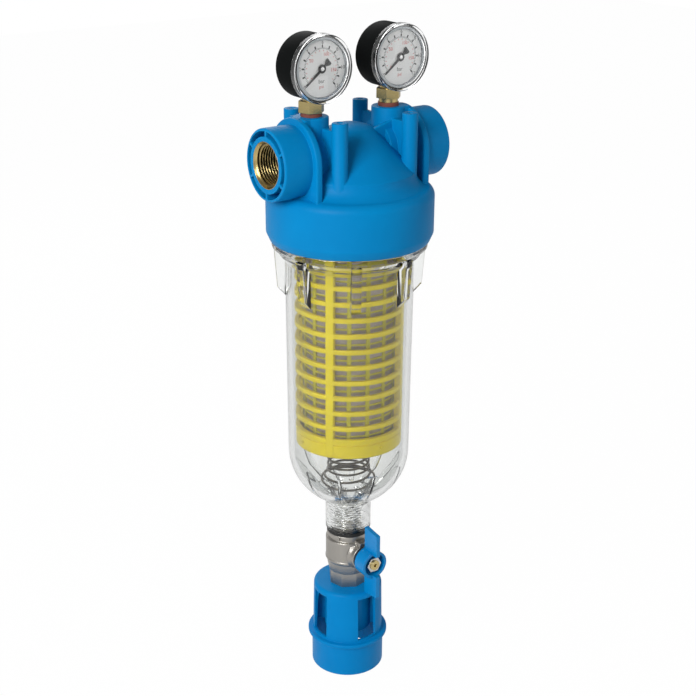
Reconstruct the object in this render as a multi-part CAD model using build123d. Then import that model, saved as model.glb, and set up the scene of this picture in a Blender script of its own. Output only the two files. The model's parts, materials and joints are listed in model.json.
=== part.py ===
"""In-line self-cleaning water filter: head with two gauges, clear bowl,
washable cartridge on a spring, drain ball valve and waste pipe adapter.

Frame: origin at the bottom centre of the drain adapter, +Z up,
-Y towards the front (gauge faces and valve handle), inlet on the -X side.
All lengths are in millimetres, all angles in degrees.
"""
import math
import os

from build123d import *

os.makedirs("parts", exist_ok=True)

# Ports and head
port_z = 368.3
port_reach = 61.5
port_tube_r = 22.2
thread_major_r = 13.22
thread_length = 16.0
insert_body_r = 15.6
insert_mouth_r = 14.4
insert_neck = 2.0
water_way_r = 9.5
throat_r = 11.8
throat_length = 7.0
skirt_r = 53.0
skirt_rim_r = 50.8
skirt_bottom = port_z - 54.5
neck_bore_r = 47.0
head_top = port_z + 26.0
dome_top = port_z + 18.9
flange_x = 38.0
flange_thick = 4.3
flange_r = 26.0
boss_x = 28.8
boss_r = 10.6
post_offset = 26.0
post_r = 4.9
post_hole_r = 1.9
post_hole_depth = 20.0
seat_r = 18.0
seat_hole_r = 12.0
seat_z = port_z - 36.0
groove_in_r = 17.2
groove_out_r = 20.5
groove_depth = 9.0

# Bowl
neck_r = 46.6
neck_top = port_z - 27.5
collar_r = 49.6
collar_top = skirt_bottom - 0.4
bowl_top_r = 41.3
bowl_low_r = 40.3
bowl_wall = 3.6
dome_centre_z = port_z - 200.8
lug_count = 8
lug_turn = 15.0
lug_r = 48.3
lug_foot_r = 46.4
lug_width = 6.4
fin_count = 10
spring_seat_z = port_z - 227.0
nipple_r = 15.5
nipple_bottom = port_z - 261.0
drain_thread_r = 10.48

# Cartridge
cage_r = 35.3
cage_in_r = 32.6
cage_bottom = port_z - 193.7
cage_band_top = port_z - 180.0
cage_top = port_z - 42.0
ring_pitch = 10.58
ring_first_z = port_z - 172.4
ring_count = 11
ring_height = 2.6
rib_turn = 33.3
rib_width = 5.0
peg_r = 1.1
peg_z = cage_bottom + 6.0
mesh_r = 30.4
core_r = 28.6
core_strips = 16
strip_width = 2.9

# Drain valve
stem_z = port_z - 278.5
valve_r = 15.3
ball_r = 11.5
ball_bore_r = 7.0
shank_top = port_z - 251.5
shank_r = drain_thread_r - 0.05
gasket_thick = 2.8
valve_body_low = port_z - 294.0
valve_octagon = 24.6
octagon_turn = 36.5
octagon_bottom = port_z - 304.0
boss_front_y = -19.0
packing_y = -14.5
stem_r = 3.5
handle_near_y = -21.6
handle_far_y = -31.6
handle_hub_r = 9.7
handle_recess_r = 7.8
wing_near_z = 25.4
wing_far_z = 23.6
wing_near_y = -21.7
wing_far_y = -35.3
wing_thick = 2.9
handle_web_y = -26.6
nut_flats = 9.8
stem_front_y = -32.2

# Drain adapter
pipe_r = 25.0
pipe_top = 23.3
rim_r = 27.7
rim_top = 26.1
adapter_top = 64.3
adapter_r = 23.65
adapter_wall = 2.5
adapter_roof = 3.6
window_half = 7.2

# Gauges
gauge_z = {-1: port_z + 55.6, 1: port_z + 57.2}
case_r = 19.6
bezel_r = 20.6
case_back_y = 9.4
bezel_front_y = -14.0
opening_r = 16.9
pane_front_y = -13.2
case_wall = 1.4
dial_y = -10.6
gauge_hex = 14.0
hex_turn = -15.0
hex_lift = {-1: 2.4, 1: 5.0}
washer_thick = 2.4
flange_y = -8.0
flange_face_y = -12.4
case_flange_r = 19.0
dial_r = 17.0
rest_angle = -130.0
sector_drop = 10.5
pinion_pitch_r = 1.5
sector_pitch_r = 9.0
pinion_teeth = 10
sector_teeth = 10
gear_tip = 0.22
gear_root = 0.36

BASE = (Align.CENTER, Align.CENTER, Align.MIN)
MIDDLE = (Align.CENTER, Align.CENTER, Align.CENTER)


def upright(radius, low, high, x=0.0, y=0.0):
    """A round bar along Z between two heights."""
    low, high = min(low, high), max(low, high)
    return Pos(x, y, low) * Cylinder(radius, high - low, align=BASE)


def across(radius, start, end, y=0.0, z=port_z):
    """A round bar along X from start to end."""
    low, high = min(start, end), max(start, end)
    return Pos(low, y, z) * Rot(0, 90, 0) * Cylinder(radius, high - low, align=BASE)


def forward(radius, start, end, x=0.0, z=stem_z):
    """A round bar along Y from start to end."""
    low, high = min(start, end), max(start, end)
    return Pos(x, low, z) * Rot(-90, 0, 0) * Cylinder(radius, high - low, align=BASE)


def block(x_span, y_span, z_span):
    """A rectangular block given by its limits along each axis."""
    size = [span[1] - span[0] for span in (x_span, y_span, z_span)]
    centre = [(span[1] + span[0]) / 2 for span in (x_span, y_span, z_span)]
    return Pos(*centre) * Box(*size, align=MIDDLE)


def turned(points):
    """A solid turned about Z from (radius, height) corners."""
    outline = Polyline([(radius, 0, height) for radius, height in points], close=True)
    return revolve(make_face(outline), Axis.Z, 360)


def turned_edges(edges):
    """A solid turned about Z from a closed chain of lines and arcs in the XZ plane."""
    return revolve(make_face(edges), Axis.Z, 360)


def pipe(outer, inner, low, high, x=0.0, y=0.0):
    """A tube along Z."""
    return upright(outer, low, high, x, y) - upright(inner, low - 1, high + 1, x, y)


def radial_plate(points, width, turn):
    """A flat plate in a plane through Z, cut to (radius, height) corners."""
    face = make_face(Polyline([(radius, 0, height) for radius, height in points], close=True))
    plate = extrude(face, width / 2, dir=(0, 1, 0), both=True)
    return Rot(0, 0, turn) * plate


def prism(sides, flats, low, high):
    """A regular prism along Z, across-flats size given, a corner towards +X."""
    outline = RegularPolygon(flats / 2, sides, major_radius=False)
    return Pos(0, 0, low) * extrude(outline, high - low)


def head_shell():
    """Skirt, round shoulder and conical dome as one turned form."""
    shoulder = (skirt_r, port_z - 26.0)
    round_mid = (skirt_r - 1.7, port_z - 22.0)
    top_of_round = (47.4, port_z - 20.3)
    foot_mid = (43.1, port_z - 17.2)
    foot_of_dome = (40.6, port_z - 10.6)
    dome_shoulder = (14.0, port_z + 15.6)
    crown_drop = dome_top - dome_shoulder[1]
    crown_r = (dome_shoulder[0] ** 2 + crown_drop**2) / (2 * crown_drop)
    half_turn = math.asin(dome_shoulder[0] / crown_r) / 2
    crown_mid = (crown_r * math.sin(half_turn), dome_top - crown_r * (1 - math.cos(half_turn)))
    edges = [
        Line((0, 0, skirt_bottom), (skirt_rim_r, 0, skirt_bottom)),
        Line((skirt_rim_r, 0, skirt_bottom), (skirt_r, 0, skirt_bottom + 5.5)),
        Line((skirt_r, 0, skirt_bottom + 5.5), (shoulder[0], 0, shoulder[1])),
        Line((shoulder[0], 0, shoulder[1]), (round_mid[0], 0, round_mid[1])),
        Line((round_mid[0], 0, round_mid[1]), (top_of_round[0], 0, top_of_round[1])),
        Line((top_of_round[0], 0, top_of_round[1]), (foot_mid[0], 0, foot_mid[1])),
        Line((foot_mid[0], 0, foot_mid[1]), (foot_of_dome[0], 0, foot_of_dome[1])),
        Line((foot_of_dome[0], 0, foot_of_dome[1]), (dome_shoulder[0], 0, dome_shoulder[1])),
        ThreePointArc(
            (dome_shoulder[0], 0, dome_shoulder[1]),
            (crown_mid[0], 0, crown_mid[1]),
            (0, 0, dome_top),
        ),
        Line((0, 0, dome_top), (0, 0, skirt_bottom)),
    ]
    return turned_edges(edges)


def head_side(side):
    """Port tube, arched flange, duct, gauge boss and bridge on one side."""
    outer = across(port_tube_r, side * flange_x, side * port_reach)
    near, far = side * flange_x, side * (flange_x + flange_thick)
    arch = across(flange_r, near, far)
    x_span = (min(near, far), max(near, far))
    arch += block(x_span, (-flange_r, flange_r), (port_z - 23.0, port_z))
    duct = across(17.5, side * 6.0, side * (flange_x + 1.0))
    boss = upright(boss_r, port_z, head_top, side * boss_x)
    bridge_x = (min(side * boss_x, near), max(side * boss_x, near))
    bridge = block(bridge_x, (-boss_r + 2.0, boss_r - 2.0), (port_z + 10.0, head_top))
    return outer + arch + duct + boss + bridge


def head_posts():
    """Four fixing posts with the ribs that tie them to the bosses."""
    solid = None
    for x_sign in (-1, 1):
        for y_sign in (-1, 1):
            x, y = x_sign * post_offset, y_sign * post_offset
            post = upright(post_r, port_z - 20.0, head_top, x, y)
            y_span = sorted((y_sign * 6.0, y))
            rib = block((x - 1.8, x + 1.8), y_span, (port_z - 12.0, port_z + 20.0))
            piece = post + rib
            solid = piece if solid is None else solid + piece
    return solid


def side_rib(side):
    """Sloping rib from a gauge boss down to the dome, front right and back left."""
    outline = [
        (10.0, port_z + 5.0),
        (10.7, port_z + 18.5),
        (boss_x, port_z + 22.6),
        (boss_x, port_z + 5.0),
    ]
    face = make_face(Polyline([(x, 0, z) for x, z in outline], close=True))
    plate = extrude(face, 3.2, dir=(0, 1, 0))
    rib = Pos(0, -boss_r, 0) * plate
    return rib if side > 0 else Rot(0, 0, 180) * rib


def port_cuts(side):
    """Bores, insert seat and the ring groove of one port."""
    face = side * port_reach
    seat_start = face - side * insert_neck
    seat_end = face - side * (thread_length + insert_neck)
    cut = across(insert_mouth_r, face + side, seat_start)
    cut += across(insert_body_r, seat_start, seat_end)
    inner_end = 0.0 if side > 0 else -19.0
    cut += across(throat_r, seat_end, seat_end - side * throat_length)
    cut += across(water_way_r, seat_end, inner_end)
    groove = across(groove_out_r, face + side, face - side * groove_depth)
    groove -= across(groove_in_r, face + 2 * side, face - 2 * side * groove_depth)
    for turn in (0, 60, 120):
        web = Pos(face, 0, port_z) * Rot(turn, 0, 0) * Box(4 * groove_depth, 1.6, 60)
        groove -= web
    cut += groove
    boss_hole_r = 4.9
    cut += upright(boss_hole_r, head_top - 9.0, head_top + 1.0, side * boss_x)
    cut += upright(1.5, port_z, head_top, side * boss_x)
    return cut


def head_chamber():
    """Water chamber inside the head, open at the bottom for the bowl neck."""
    low = skirt_bottom - 5.0
    chamber = turned(
        [
            (seat_r, low),
            (seat_r, port_z + 3.0),
            (20.0, port_z + 4.0),
            (38.0, port_z - 13.6),
            (41.0, port_z - 20.0),
            (41.0, port_z - 24.5),
            (neck_bore_r, port_z - 24.5),
            (neck_bore_r, low),
        ]
    )
    chamber -= across(14.0, 0.0, 50.0)
    chamber += upright(seat_r, low, seat_z)
    chamber += upright(seat_hole_r, seat_z - 1.0, port_z + 6.0)
    return chamber


def make_head():
    head = head_shell()
    for side in (-1, 1):
        head += head_side(side)
        head += side_rib(side)
    head += head_posts()
    head -= head_chamber()
    for side in (-1, 1):
        head -= port_cuts(side)
    for x in (-post_offset, post_offset):
        for y in (-post_offset, post_offset):
            head -= upright(post_hole_r, head_top - post_hole_depth, head_top + 1.0, x, y)
    return head


def make_insert(side):
    """Brass thread insert of one port."""
    face = side * port_reach
    shoulder = face - side * insert_neck
    inner = face - side * (thread_length + insert_neck)
    insert = across(insert_mouth_r, face, shoulder) + across(insert_body_r, shoulder, inner)
    insert -= across(thread_major_r, face - side * 1.0, inner - side)
    mouth = Pos(face - side * 1.0, 0, port_z) * Rot(0, side * 90, 0)
    insert -= mouth * Cone(thread_major_r, insert_mouth_r - 0.3, 1.01, align=BASE)
    return insert


def make_bowl():
    """Clear bowl with threaded neck, collar, grip lugs, fins and drain nipple."""
    inner_top = bowl_top_r - bowl_wall
    inner_low = bowl_low_r - bowl_wall
    nipple_join = dome_centre_z - math.sqrt(bowl_low_r**2 - nipple_r**2)
    arc_turn = math.radians(35)
    arc_mid = (bowl_low_r * math.cos(arc_turn), 0, dome_centre_z - bowl_low_r * math.sin(arc_turn))
    edges = [
        Line((0, 0, neck_top), (neck_r, 0, neck_top)),
        Line((neck_r, 0, neck_top), (neck_r, 0, collar_top)),
        Line((neck_r, 0, collar_top), (collar_r, 0, collar_top)),
        Line((collar_r, 0, collar_top), (collar_r, 0, collar_top - 3.7)),
        Line((collar_r, 0, collar_top - 3.7), (45.2, 0, collar_top - 5.5)),
        Line((45.2, 0, collar_top - 5.5), (45.2, 0, port_z - 63.5)),
        Line((45.2, 0, port_z - 63.5), (bowl_top_r, 0, port_z - 68.0)),
        Line((bowl_top_r, 0, port_z - 68.0), (bowl_low_r, 0, dome_centre_z)),
        ThreePointArc((bowl_low_r, 0, dome_centre_z), arc_mid, (nipple_r, 0, nipple_join)),
        Line((nipple_r, 0, nipple_join), (nipple_r, 0, nipple_bottom)),
        Line((nipple_r, 0, nipple_bottom), (0, 0, nipple_bottom)),
        Line((0, 0, nipple_bottom), (0, 0, neck_top)),
    ]
    bowl = turned_edges(edges)
    for number in range(lug_count):
        turn = -90 + lug_turn + number * 360 / lug_count
        outline = [
            (40.0, port_z - 60.0),
            (lug_r, port_z - 60.0),
            (lug_foot_r, port_z - 86.0),
            (40.0, port_z - 93.0),
        ]
        bowl += radial_plate(outline, lug_width, turn)
    hollow = turned(
        [
            (0, neck_top + 1),
            (inner_top + 3.8, neck_top + 1),
            (inner_top + 3.8, port_z - 60.0),
            (inner_top, port_z - 67.0),
            (inner_low, dome_centre_z),
            (inner_low * 0.87, dome_centre_z - inner_low * 0.5),
            (inner_low * 0.5, dome_centre_z - inner_low * 0.87),
            (drain_thread_r, dome_centre_z - inner_low * 0.95),
            (drain_thread_r, nipple_bottom - 1),
            (0, nipple_bottom - 1),
        ]
    )
    bowl -= hollow
    for number in range(fin_count):
        outline = [
            (11.5, spring_seat_z),
            (21.5, spring_seat_z),
            (34.0, port_z - 208.5),
            (37.5, port_z - 208.5),
            (36.5, port_z - 215.0),
            (25.0, port_z - 231.0),
            (11.5, port_z - 237.0),
        ]
        bowl += radial_plate(outline, 1.6, number * 360 / fin_count + 9.0)
    return bowl


def make_bowl_seal():
    """Square seal ring between the head and the bowl's neck."""
    return pipe(46.4, 41.6, neck_top + 0.05, port_z - 24.55)


def make_cage():
    """Outer cage of the cartridge: bands, rings, four ribs and a floor."""
    cage = pipe(cage_r, cage_in_r, cage_top - 16.0, cage_top)
    cage += pipe(cage_r, cage_in_r, cage_bottom, cage_band_top)
    for turn in (0, 90, 180, 270):
        peg = Pos(cage_r - 1.5, 0, peg_z) * Rot(0, 90, 0) * Cylinder(peg_r, 2.3, align=BASE)
        cage += Rot(0, 0, turn) * peg
    for number in range(ring_count):
        middle = ring_first_z + number * ring_pitch
        cage += turned(
            [
                (cage_r, middle - ring_height / 2),
                (cage_r, middle + ring_height / 2),
                (cage_in_r, middle),
            ]
        )
    for number in range(4):
        turn = -90 + rib_turn + number * 90
        outline = [
            (cage_in_r - 1.0, cage_bottom + 2.0),
            (cage_r, cage_bottom + 2.0),
            (cage_r, cage_top - 2.0),
            (cage_in_r - 1.0, cage_top - 2.0),
        ]
        cage += radial_plate(outline, rib_width, turn)
    cage += upright(cage_in_r + 1.0, cage_bottom, cage_bottom + 2.5)
    cage += upright(11.5, cage_bottom - 3.0, cage_bottom)
    return cage


def make_mesh():
    """Fine steel screen wrapped round the core."""
    return pipe(mesh_r, mesh_r - 0.6, cage_bottom + 2.5, cage_top)


def make_core():
    """Inner support: upright strips and three rings under the screen."""
    low, high = cage_bottom + 2.5, cage_top
    core = pipe(core_r, core_r - 2.0, low, low + 6.0)
    core += pipe(core_r, core_r - 2.0, high - 6.0, high)
    for number in range(core_strips):
        outline = [(core_r - 2.0, low), (core_r + 0.6, low), (core_r + 0.6, high), (core_r - 2.0, high)]
        core += radial_plate(outline, strip_width, number * 360 / core_strips)
    return core


def make_top_cap():
    """End cap with the collar that meets the head's central seat."""
    cap = pipe(cage_r, seat_hole_r, cage_top, cage_top + 2.0)
    cap += pipe(seat_r, seat_hole_r, cage_top + 2.0, cage_top + 3.0)
    return cap


def make_cartridge_seal():
    """Flat seal on the end cap."""
    return pipe(seat_r - 0.5, seat_hole_r + 0.3, cage_top + 3.0, seat_z - 0.05)


def make_spring():
    """Conical spring under the cartridge, small coil at the top."""
    wire = 1.5
    turns = 4.5
    low = spring_seat_z + wire / 2
    high = cage_bottom - wire / 2
    path = Helix(
        pitch=(high - low) / turns,
        height=high - low,
        radius=20.0,
        center=(0, 0, low),
        cone_angle=-math.degrees(math.atan2(20.0 - 13.4, high - low)),
    )
    start = path @ 0
    section = Plane(origin=start, z_dir=path % 0) * Rectangle(wire, wire)
    return sweep(section, path=path, is_frenet=True)


def make_valve_gasket():
    return pipe(14.6, drain_thread_r + 0.1, nipple_bottom - gasket_thick, nipple_bottom)


def make_valve_body():
    """Valve body with male thread shank, stem boss and ball chamber."""
    body = turned(
        [
            (0, shank_top),
            (shank_r, shank_top),
            (shank_r, nipple_bottom - gasket_thick),
            (14.6, nipple_bottom - gasket_thick),
            (14.6, port_z - 269.0),
            (valve_r, port_z - 269.8),
            (valve_r, port_z - 284.6),
            (14.8, port_z - 286.4),
            (13.2, valve_body_low),
            (0, valve_body_low),
        ]
    )
    body += forward(9.2, 0.0, boss_front_y)
    body += block((-3.6, 3.6), (boss_front_y, -14.0), (stem_z + 8.2, stem_z + 11.5))
    body -= upright(ball_bore_r, shank_top + 1, stem_z)
    body -= upright(ball_r + 0.3, valve_body_low - 1, stem_z + 12.0)
    body -= forward(stem_r + 0.05, 0.0, boss_front_y - 1)
    body -= forward(6.0, packing_y, boss_front_y - 1)
    return body


def make_retainer():
    """Lower end piece with the octagon, screwed up against the lower seat."""
    top = stem_z - 12.0
    piece = Rot(0, 0, octagon_turn) * prism(8, valve_octagon, octagon_bottom, valve_body_low)
    piece += upright(ball_r + 0.28, valve_body_low, top)
    piece -= upright(ball_bore_r, octagon_bottom - 1, top + 1)
    piece -= upright(drain_thread_r, octagon_bottom - 1, adapter_top + 8.6)
    return piece


def make_seat(side):
    """One sealing ring of the ball, above or below it."""
    near = 8.9
    far = 12.0
    inner = ball_bore_r + 0.2
    touch = math.sqrt(ball_r**2 - near**2) + 0.4
    points = [
        (inner, stem_z + side * far),
        (ball_r + 0.2, stem_z + side * far),
        (ball_r + 0.2, stem_z + side * near),
        (touch, stem_z + side * near),
        (inner, stem_z + side * (math.sqrt(ball_r**2 - inner**2) + 0.4)),
    ]
    return turned(points)


def make_ball():
    """Ball with its water way upright, open, and a slot for the stem."""
    ball = Pos(0, 0, stem_z) * Sphere(ball_r)
    ball -= upright(ball_bore_r, stem_z - 20, stem_z + 20)
    ball -= block((-1.6, 1.6), (-20.0, -9.0), (stem_z - 20, stem_z + 20))
    return ball


def make_stem():
    """Stem from the ball's slot out to the handle nut, with a centre hole."""
    stem = forward(stem_r, -11.8, stem_front_y)
    stem += block((-1.5, 1.5), (-12.0, -9.2), (stem_z - 3.1, stem_z + 3.1))
    return stem - forward(1.2, stem_front_y + 2.0, stem_front_y - 1)


def make_gland():
    """Packing ring round the stem in the boss."""
    return forward(5.95, packing_y, boss_front_y) - forward(stem_r + 0.05, packing_y + 1, boss_front_y - 1)


def make_handle():
    """Butterfly handle: recessed hub with two flat wings, upright when open."""
    hub = forward(handle_hub_r, handle_near_y, handle_far_y)
    outline = [
        (wing_near_y, stem_z - wing_near_z),
        (wing_far_y, stem_z - wing_far_z),
        (wing_far_y, stem_z + wing_far_z),
        (wing_near_y, stem_z + wing_near_z),
    ]
    face = make_face(Polyline([(0, y, z) for y, z in outline], close=True))
    wings = extrude(face, wing_thick / 2, dir=(1, 0, 0), both=True)
    handle = hub + wings
    handle -= forward(handle_recess_r, handle_web_y, wing_far_y - 1)
    return handle - forward(stem_r, handle_near_y + 1, wing_far_y - 1)


def make_handle_nut():
    """Nut that holds the handle on the stem."""
    nut = Rot(90, 0, 0) * prism(6, nut_flats, -handle_web_y, 4.6 - handle_web_y)
    nut = Pos(0, 0, stem_z) * nut
    return nut - forward(stem_r, handle_web_y + 1, handle_web_y - 6)


def make_adapter():
    """Drain adapter: air-gap windows over a plain pipe end."""
    inner = pipe_r - adapter_wall
    adapter = turned(
        [
            (0, adapter_top),
            (adapter_r, adapter_top),
            (24.3, rim_top),
            (rim_r, rim_top),
            (rim_r, pipe_top),
            (pipe_r, pipe_top),
            (pipe_r, 0),
            (inner, 0),
            (inner, pipe_top + 2),
            (adapter_r - adapter_wall, adapter_top - adapter_roof),
            (0, adapter_top - adapter_roof),
        ]
    )
    low, high = rim_top + 1.6, adapter_top - 4.4
    adapter -= block((-40, 40), (-window_half, window_half), (low, high))
    adapter -= block((-window_half, window_half), (-40, 40), (low, high))
    adapter += upright(drain_thread_r - 0.05, adapter_top - adapter_roof, adapter_top + 8.5)
    adapter -= upright(ball_bore_r, adapter_top - 10, adapter_top + 12)
    return adapter


def gauge_place(side):
    return Pos(side * boss_x, 0, gauge_z[side])


def lathed(points):
    """A solid turned about Y from (radius, y) corners."""
    outline = Polyline([(radius, y, 0) for radius, y in points], close=True)
    return revolve(make_face(outline), Axis.Y, 360)


def make_case(side):
    """Gauge case: a cup open to the front, with a hole for the socket."""
    inner = case_r - case_wall - 1.0
    case = lathed(
        [
            (0, case_back_y),
            (case_r - 1.4, case_back_y),
            (case_r, case_back_y - 1.4),
            (case_r, flange_y),
            (case_flange_r, flange_y),
            (case_flange_r, flange_face_y),
            (inner, flange_face_y),
            (inner, case_back_y - 1.6),
            (0, case_back_y - 1.6),
        ]
    )
    case -= upright(5.1, -25, 0)
    return gauge_place(side) * case


def make_window(side):
    """Clear cap that snaps over the front of the case."""
    cap = lathed(
        [
            (0, pane_front_y),
            (opening_r, pane_front_y),
            (opening_r, bezel_front_y),
            (bezel_r, bezel_front_y),
            (bezel_r, flange_y),
            (case_flange_r + 0.05, flange_y),
            (case_flange_r + 0.05, flange_face_y),
            (0, flange_face_y),
        ]
    )
    return gauge_place(side) * cap


def make_dial(side):
    dial = forward(dial_r, dial_y, dial_y + 0.8, z=0) - forward(1.4, -20, 0, z=0)
    return gauge_place(side) * dial


def make_socket(side):
    """Brass stem: thread, neck, hexagon and the block inside the case."""
    low = head_top - gauge_z[side]
    hex_low = low + hex_lift[side]
    socket = upright(4.85, low - 8.0, low + washer_thick)
    socket += upright(6.0, low + washer_thick, hex_low + 0.1)
    socket += Rot(0, 0, hex_turn) * prism(6, gauge_hex, hex_low, -20.1)
    socket += upright(5.0, -21.0, -16.0)
    socket += block((-4.0, 4.0), (-1.0, 5.0), (-16.6, -9.5))
    socket -= upright(1.2, low - 9.0, -12.0)
    return gauge_place(side) * socket


def make_washer(side):
    low = head_top - gauge_z[side]
    return gauge_place(side) * pipe(6.5, 4.9, low, low + washer_thick)


def make_bourdon(side):
    """Curved flat tube that straightens under pressure, from the block to its tip."""
    tube = forward(14.5, 1.0, 4.5, z=0) - forward(12.9, 0.0, 5.5, z=0)
    tube -= block((-14, 4.0), (-1, 6), (-20, -11.2))
    tube -= block((-20, 0), (-1, 6), (-20, 0.0))
    return gauge_place(side) * tube


def make_frame(side):
    """Two plates and two pillars that carry the pointer shaft and the sector."""
    frame = None
    for low, high in ((-8.3, -7.5), (-1.9, -1.1)):
        plate = block((-6.0, 6.0), (low, high), (-14.0, 4.0))
        plate -= forward(0.8, low - 1, high + 1, z=0)
        plate -= forward(0.8, low - 1, high + 1, z=-sector_drop)
        frame = plate if frame is None else frame + plate
    for x in (-5.0, 5.0):
        frame += block((x - 0.8, x + 0.8), (-8.0, -1.5), (-14.0, -12.6))
    return gauge_place(side) * frame


def tooth(pitch_r, width_angle):
    """One straight-sided gear tooth pointing up from its pitch circle."""
    root = pitch_r - gear_root
    tip = pitch_r + gear_tip
    half_root = root * math.tan(math.radians(width_angle * 0.62))
    half_tip = tip * math.tan(math.radians(width_angle * 0.22))
    return [(-half_root, root), (-half_tip, tip), (half_tip, tip), (half_root, root)]


def toothed(pitch_r, count, step, first, y_low, y_high):
    """Teeth set round a centre, the first one turned by first degrees."""
    solid = None
    outline = tooth(pitch_r, step / 2)
    face = make_face(Polyline([(x, 0, z) for x, z in outline], close=True))
    plain = Pos(0, y_low, 0) * extrude(face, y_high - y_low, dir=(0, 1, 0))
    for number in range(count):
        piece = Rot(0, first + number * step, 0) * plain
        solid = piece if solid is None else solid + piece
    return solid


def make_pinion(side):
    """Pointer shaft with its small gear."""
    step = 360 / pinion_teeth
    gear = forward(pinion_pitch_r - gear_root + 0.04, -5.8, -3.4, z=0)
    gear += toothed(pinion_pitch_r, pinion_teeth, step, 0.0, -5.8, -3.4)
    gear += forward(0.74, -11.9, -1.2, z=0)
    return gauge_place(side) * gear


def make_sector(side):
    """Toothed sector on its own shaft, its teeth in mesh with the pinion."""
    step = 360 / (pinion_teeth * sector_pitch_r / pinion_pitch_r)
    rest_turn = 24.0
    first = rest_turn - (sector_teeth - 1) * step / 2
    outline = [(-1.6, -1.2), (-3.2, 8.0), (0.0, 8.7), (3.2, 8.0), (1.6, -1.2)]
    face = make_face(Polyline([(x, 0, z) for x, z in outline], close=True))
    arm = Pos(0, -5.3, 0) * extrude(face, 1.4, dir=(0, 1, 0))
    arm = Rot(0, rest_turn, 0) * arm
    rim = forward(sector_pitch_r - gear_root + 0.04, -5.3, -3.9, z=0) - forward(7.6, -6, -3, z=0)
    wedge_reach = 14.0
    half = math.radians(27.0)
    corner = wedge_reach * math.tan(half)
    wedge = make_face(Polyline([(0, 0, 0), (-corner, 0, wedge_reach), (corner, 0, wedge_reach)], close=True))
    wedge = Pos(0, -6, 0) * extrude(wedge, 4, dir=(0, 1, 0))
    rim = Rot(0, rest_turn, 0) * (rim & wedge)
    sector = arm + rim
    sector += toothed(sector_pitch_r, sector_teeth, step, first, -5.3, -3.9)
    sector += forward(0.74, -8.3, -1.1, z=0)
    return gauge_place(side) * Pos(0, 0, -sector_drop) * sector


def make_pointer(side):
    """Pointer at zero, with a spade-shaped tail."""
    outline = [(-0.65, 0), (-0.25, 15.0), (0.25, 15.0), (0.65, 0)]
    outline += [(0.7, -3.0), (2.3, -5.6), (2.1, -6.8), (-2.1, -6.8), (-2.3, -5.6), (-0.7, -3.0)]
    face = make_face(Polyline([(x, 0, z) for x, z in outline], close=True))
    needle = Pos(0, -11.7, 0) * extrude(face, 0.4, dir=(0, 1, 0))
    needle += forward(2.8, -11.9, -11.1, z=0)
    needle -= forward(0.74, -13, -10, z=0)
    return gauge_place(side) * Rot(0, rest_angle, 0) * needle


def save(shape, node):
    export_step(shape, f"parts/{node}.step")


save(make_head(), "head")
save(make_bowl(), "bowl")
save(make_bowl_seal(), "bowl_seal")
save(make_cage(), "cartridge_cage")
save(make_mesh(), "filter_mesh")
save(make_core(), "cartridge_core")
save(make_top_cap(), "cartridge_cap")
save(make_cartridge_seal(), "cartridge_seal")
save(make_spring(), "cartridge_spring")
save(make_valve_gasket(), "valve_gasket")
save(make_valve_body(), "valve_body")
save(make_retainer(), "valve_end")
save(make_seat(1), "ball_seat_upper")
save(make_seat(-1), "ball_seat_lower")
save(make_ball(), "valve_ball")
save(make_stem(), "valve_stem")
save(make_gland(), "stem_packing")
save(make_handle(), "valve_handle")
save(make_handle_nut(), "handle_nut")
save(make_adapter(), "drain_adapter")
for name, side in (("inlet", -1), ("outlet", 1)):
    save(make_insert(side), f"{name}_insert")
    save(make_case(side), f"{name}_gauge_case")
    save(make_window(side), f"{name}_gauge_window")
    save(make_dial(side), f"{name}_gauge_dial")
    save(make_socket(side), f"{name}_gauge_socket")
    save(make_washer(side), f"{name}_gauge_washer")
    save(make_bourdon(side), f"{name}_gauge_tube")
    save(make_frame(side), f"{name}_gauge_frame")
    save(make_pinion(side), f"{name}_gauge_pinion")
    save(make_sector(side), f"{name}_gauge_sector")
    save(make_pointer(side), f"{name}_gauge_pointer")
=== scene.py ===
import json
import math

import bmesh
import bpy
import numpy as np
from mathutils import Matrix, Vector


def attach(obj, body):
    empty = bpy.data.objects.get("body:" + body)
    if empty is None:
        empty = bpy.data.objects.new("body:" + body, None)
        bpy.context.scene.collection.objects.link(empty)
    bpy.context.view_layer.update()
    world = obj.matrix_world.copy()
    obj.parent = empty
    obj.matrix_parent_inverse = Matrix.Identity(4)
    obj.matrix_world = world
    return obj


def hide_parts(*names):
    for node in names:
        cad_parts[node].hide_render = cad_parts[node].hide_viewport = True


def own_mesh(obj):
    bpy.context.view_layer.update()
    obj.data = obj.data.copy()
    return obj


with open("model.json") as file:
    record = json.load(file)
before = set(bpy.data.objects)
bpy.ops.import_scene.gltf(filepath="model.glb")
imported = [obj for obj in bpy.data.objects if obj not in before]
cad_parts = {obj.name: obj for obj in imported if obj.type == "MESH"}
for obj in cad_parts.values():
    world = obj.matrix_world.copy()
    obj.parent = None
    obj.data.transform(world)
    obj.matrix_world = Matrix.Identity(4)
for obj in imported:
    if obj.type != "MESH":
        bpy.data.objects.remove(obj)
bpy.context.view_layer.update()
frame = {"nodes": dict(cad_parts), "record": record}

mm = 0.001
mounts = {mount["name"]: mount for mount in frame["record"]["mounts"]}
portHeight = mounts["inlet_port"]["pos_m"][2] / mm
print("frame loaded, port axis at", round(portHeight, 1), "mm")


# Meshes from numpy grids

# Quads between neighbouring points of a grid, wrapped round where it closes.
def gridFaces(rows, columns, closeRows, closeColumns):
    row = np.arange(rows if closeRows else rows - 1)[:, None]
    column = np.arange(columns if closeColumns else columns - 1)[None, :]
    nextRow = (row + 1) % rows
    nextColumn = (column + 1) % columns
    corners = [
        row * columns + column,
        row * columns + nextColumn,
        nextRow * columns + nextColumn,
        nextRow * columns + column,
    ]
    return np.stack([np.broadcast_to(c, (len(row), column.size)) for c in corners], -1).reshape(-1, 4)


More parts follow.
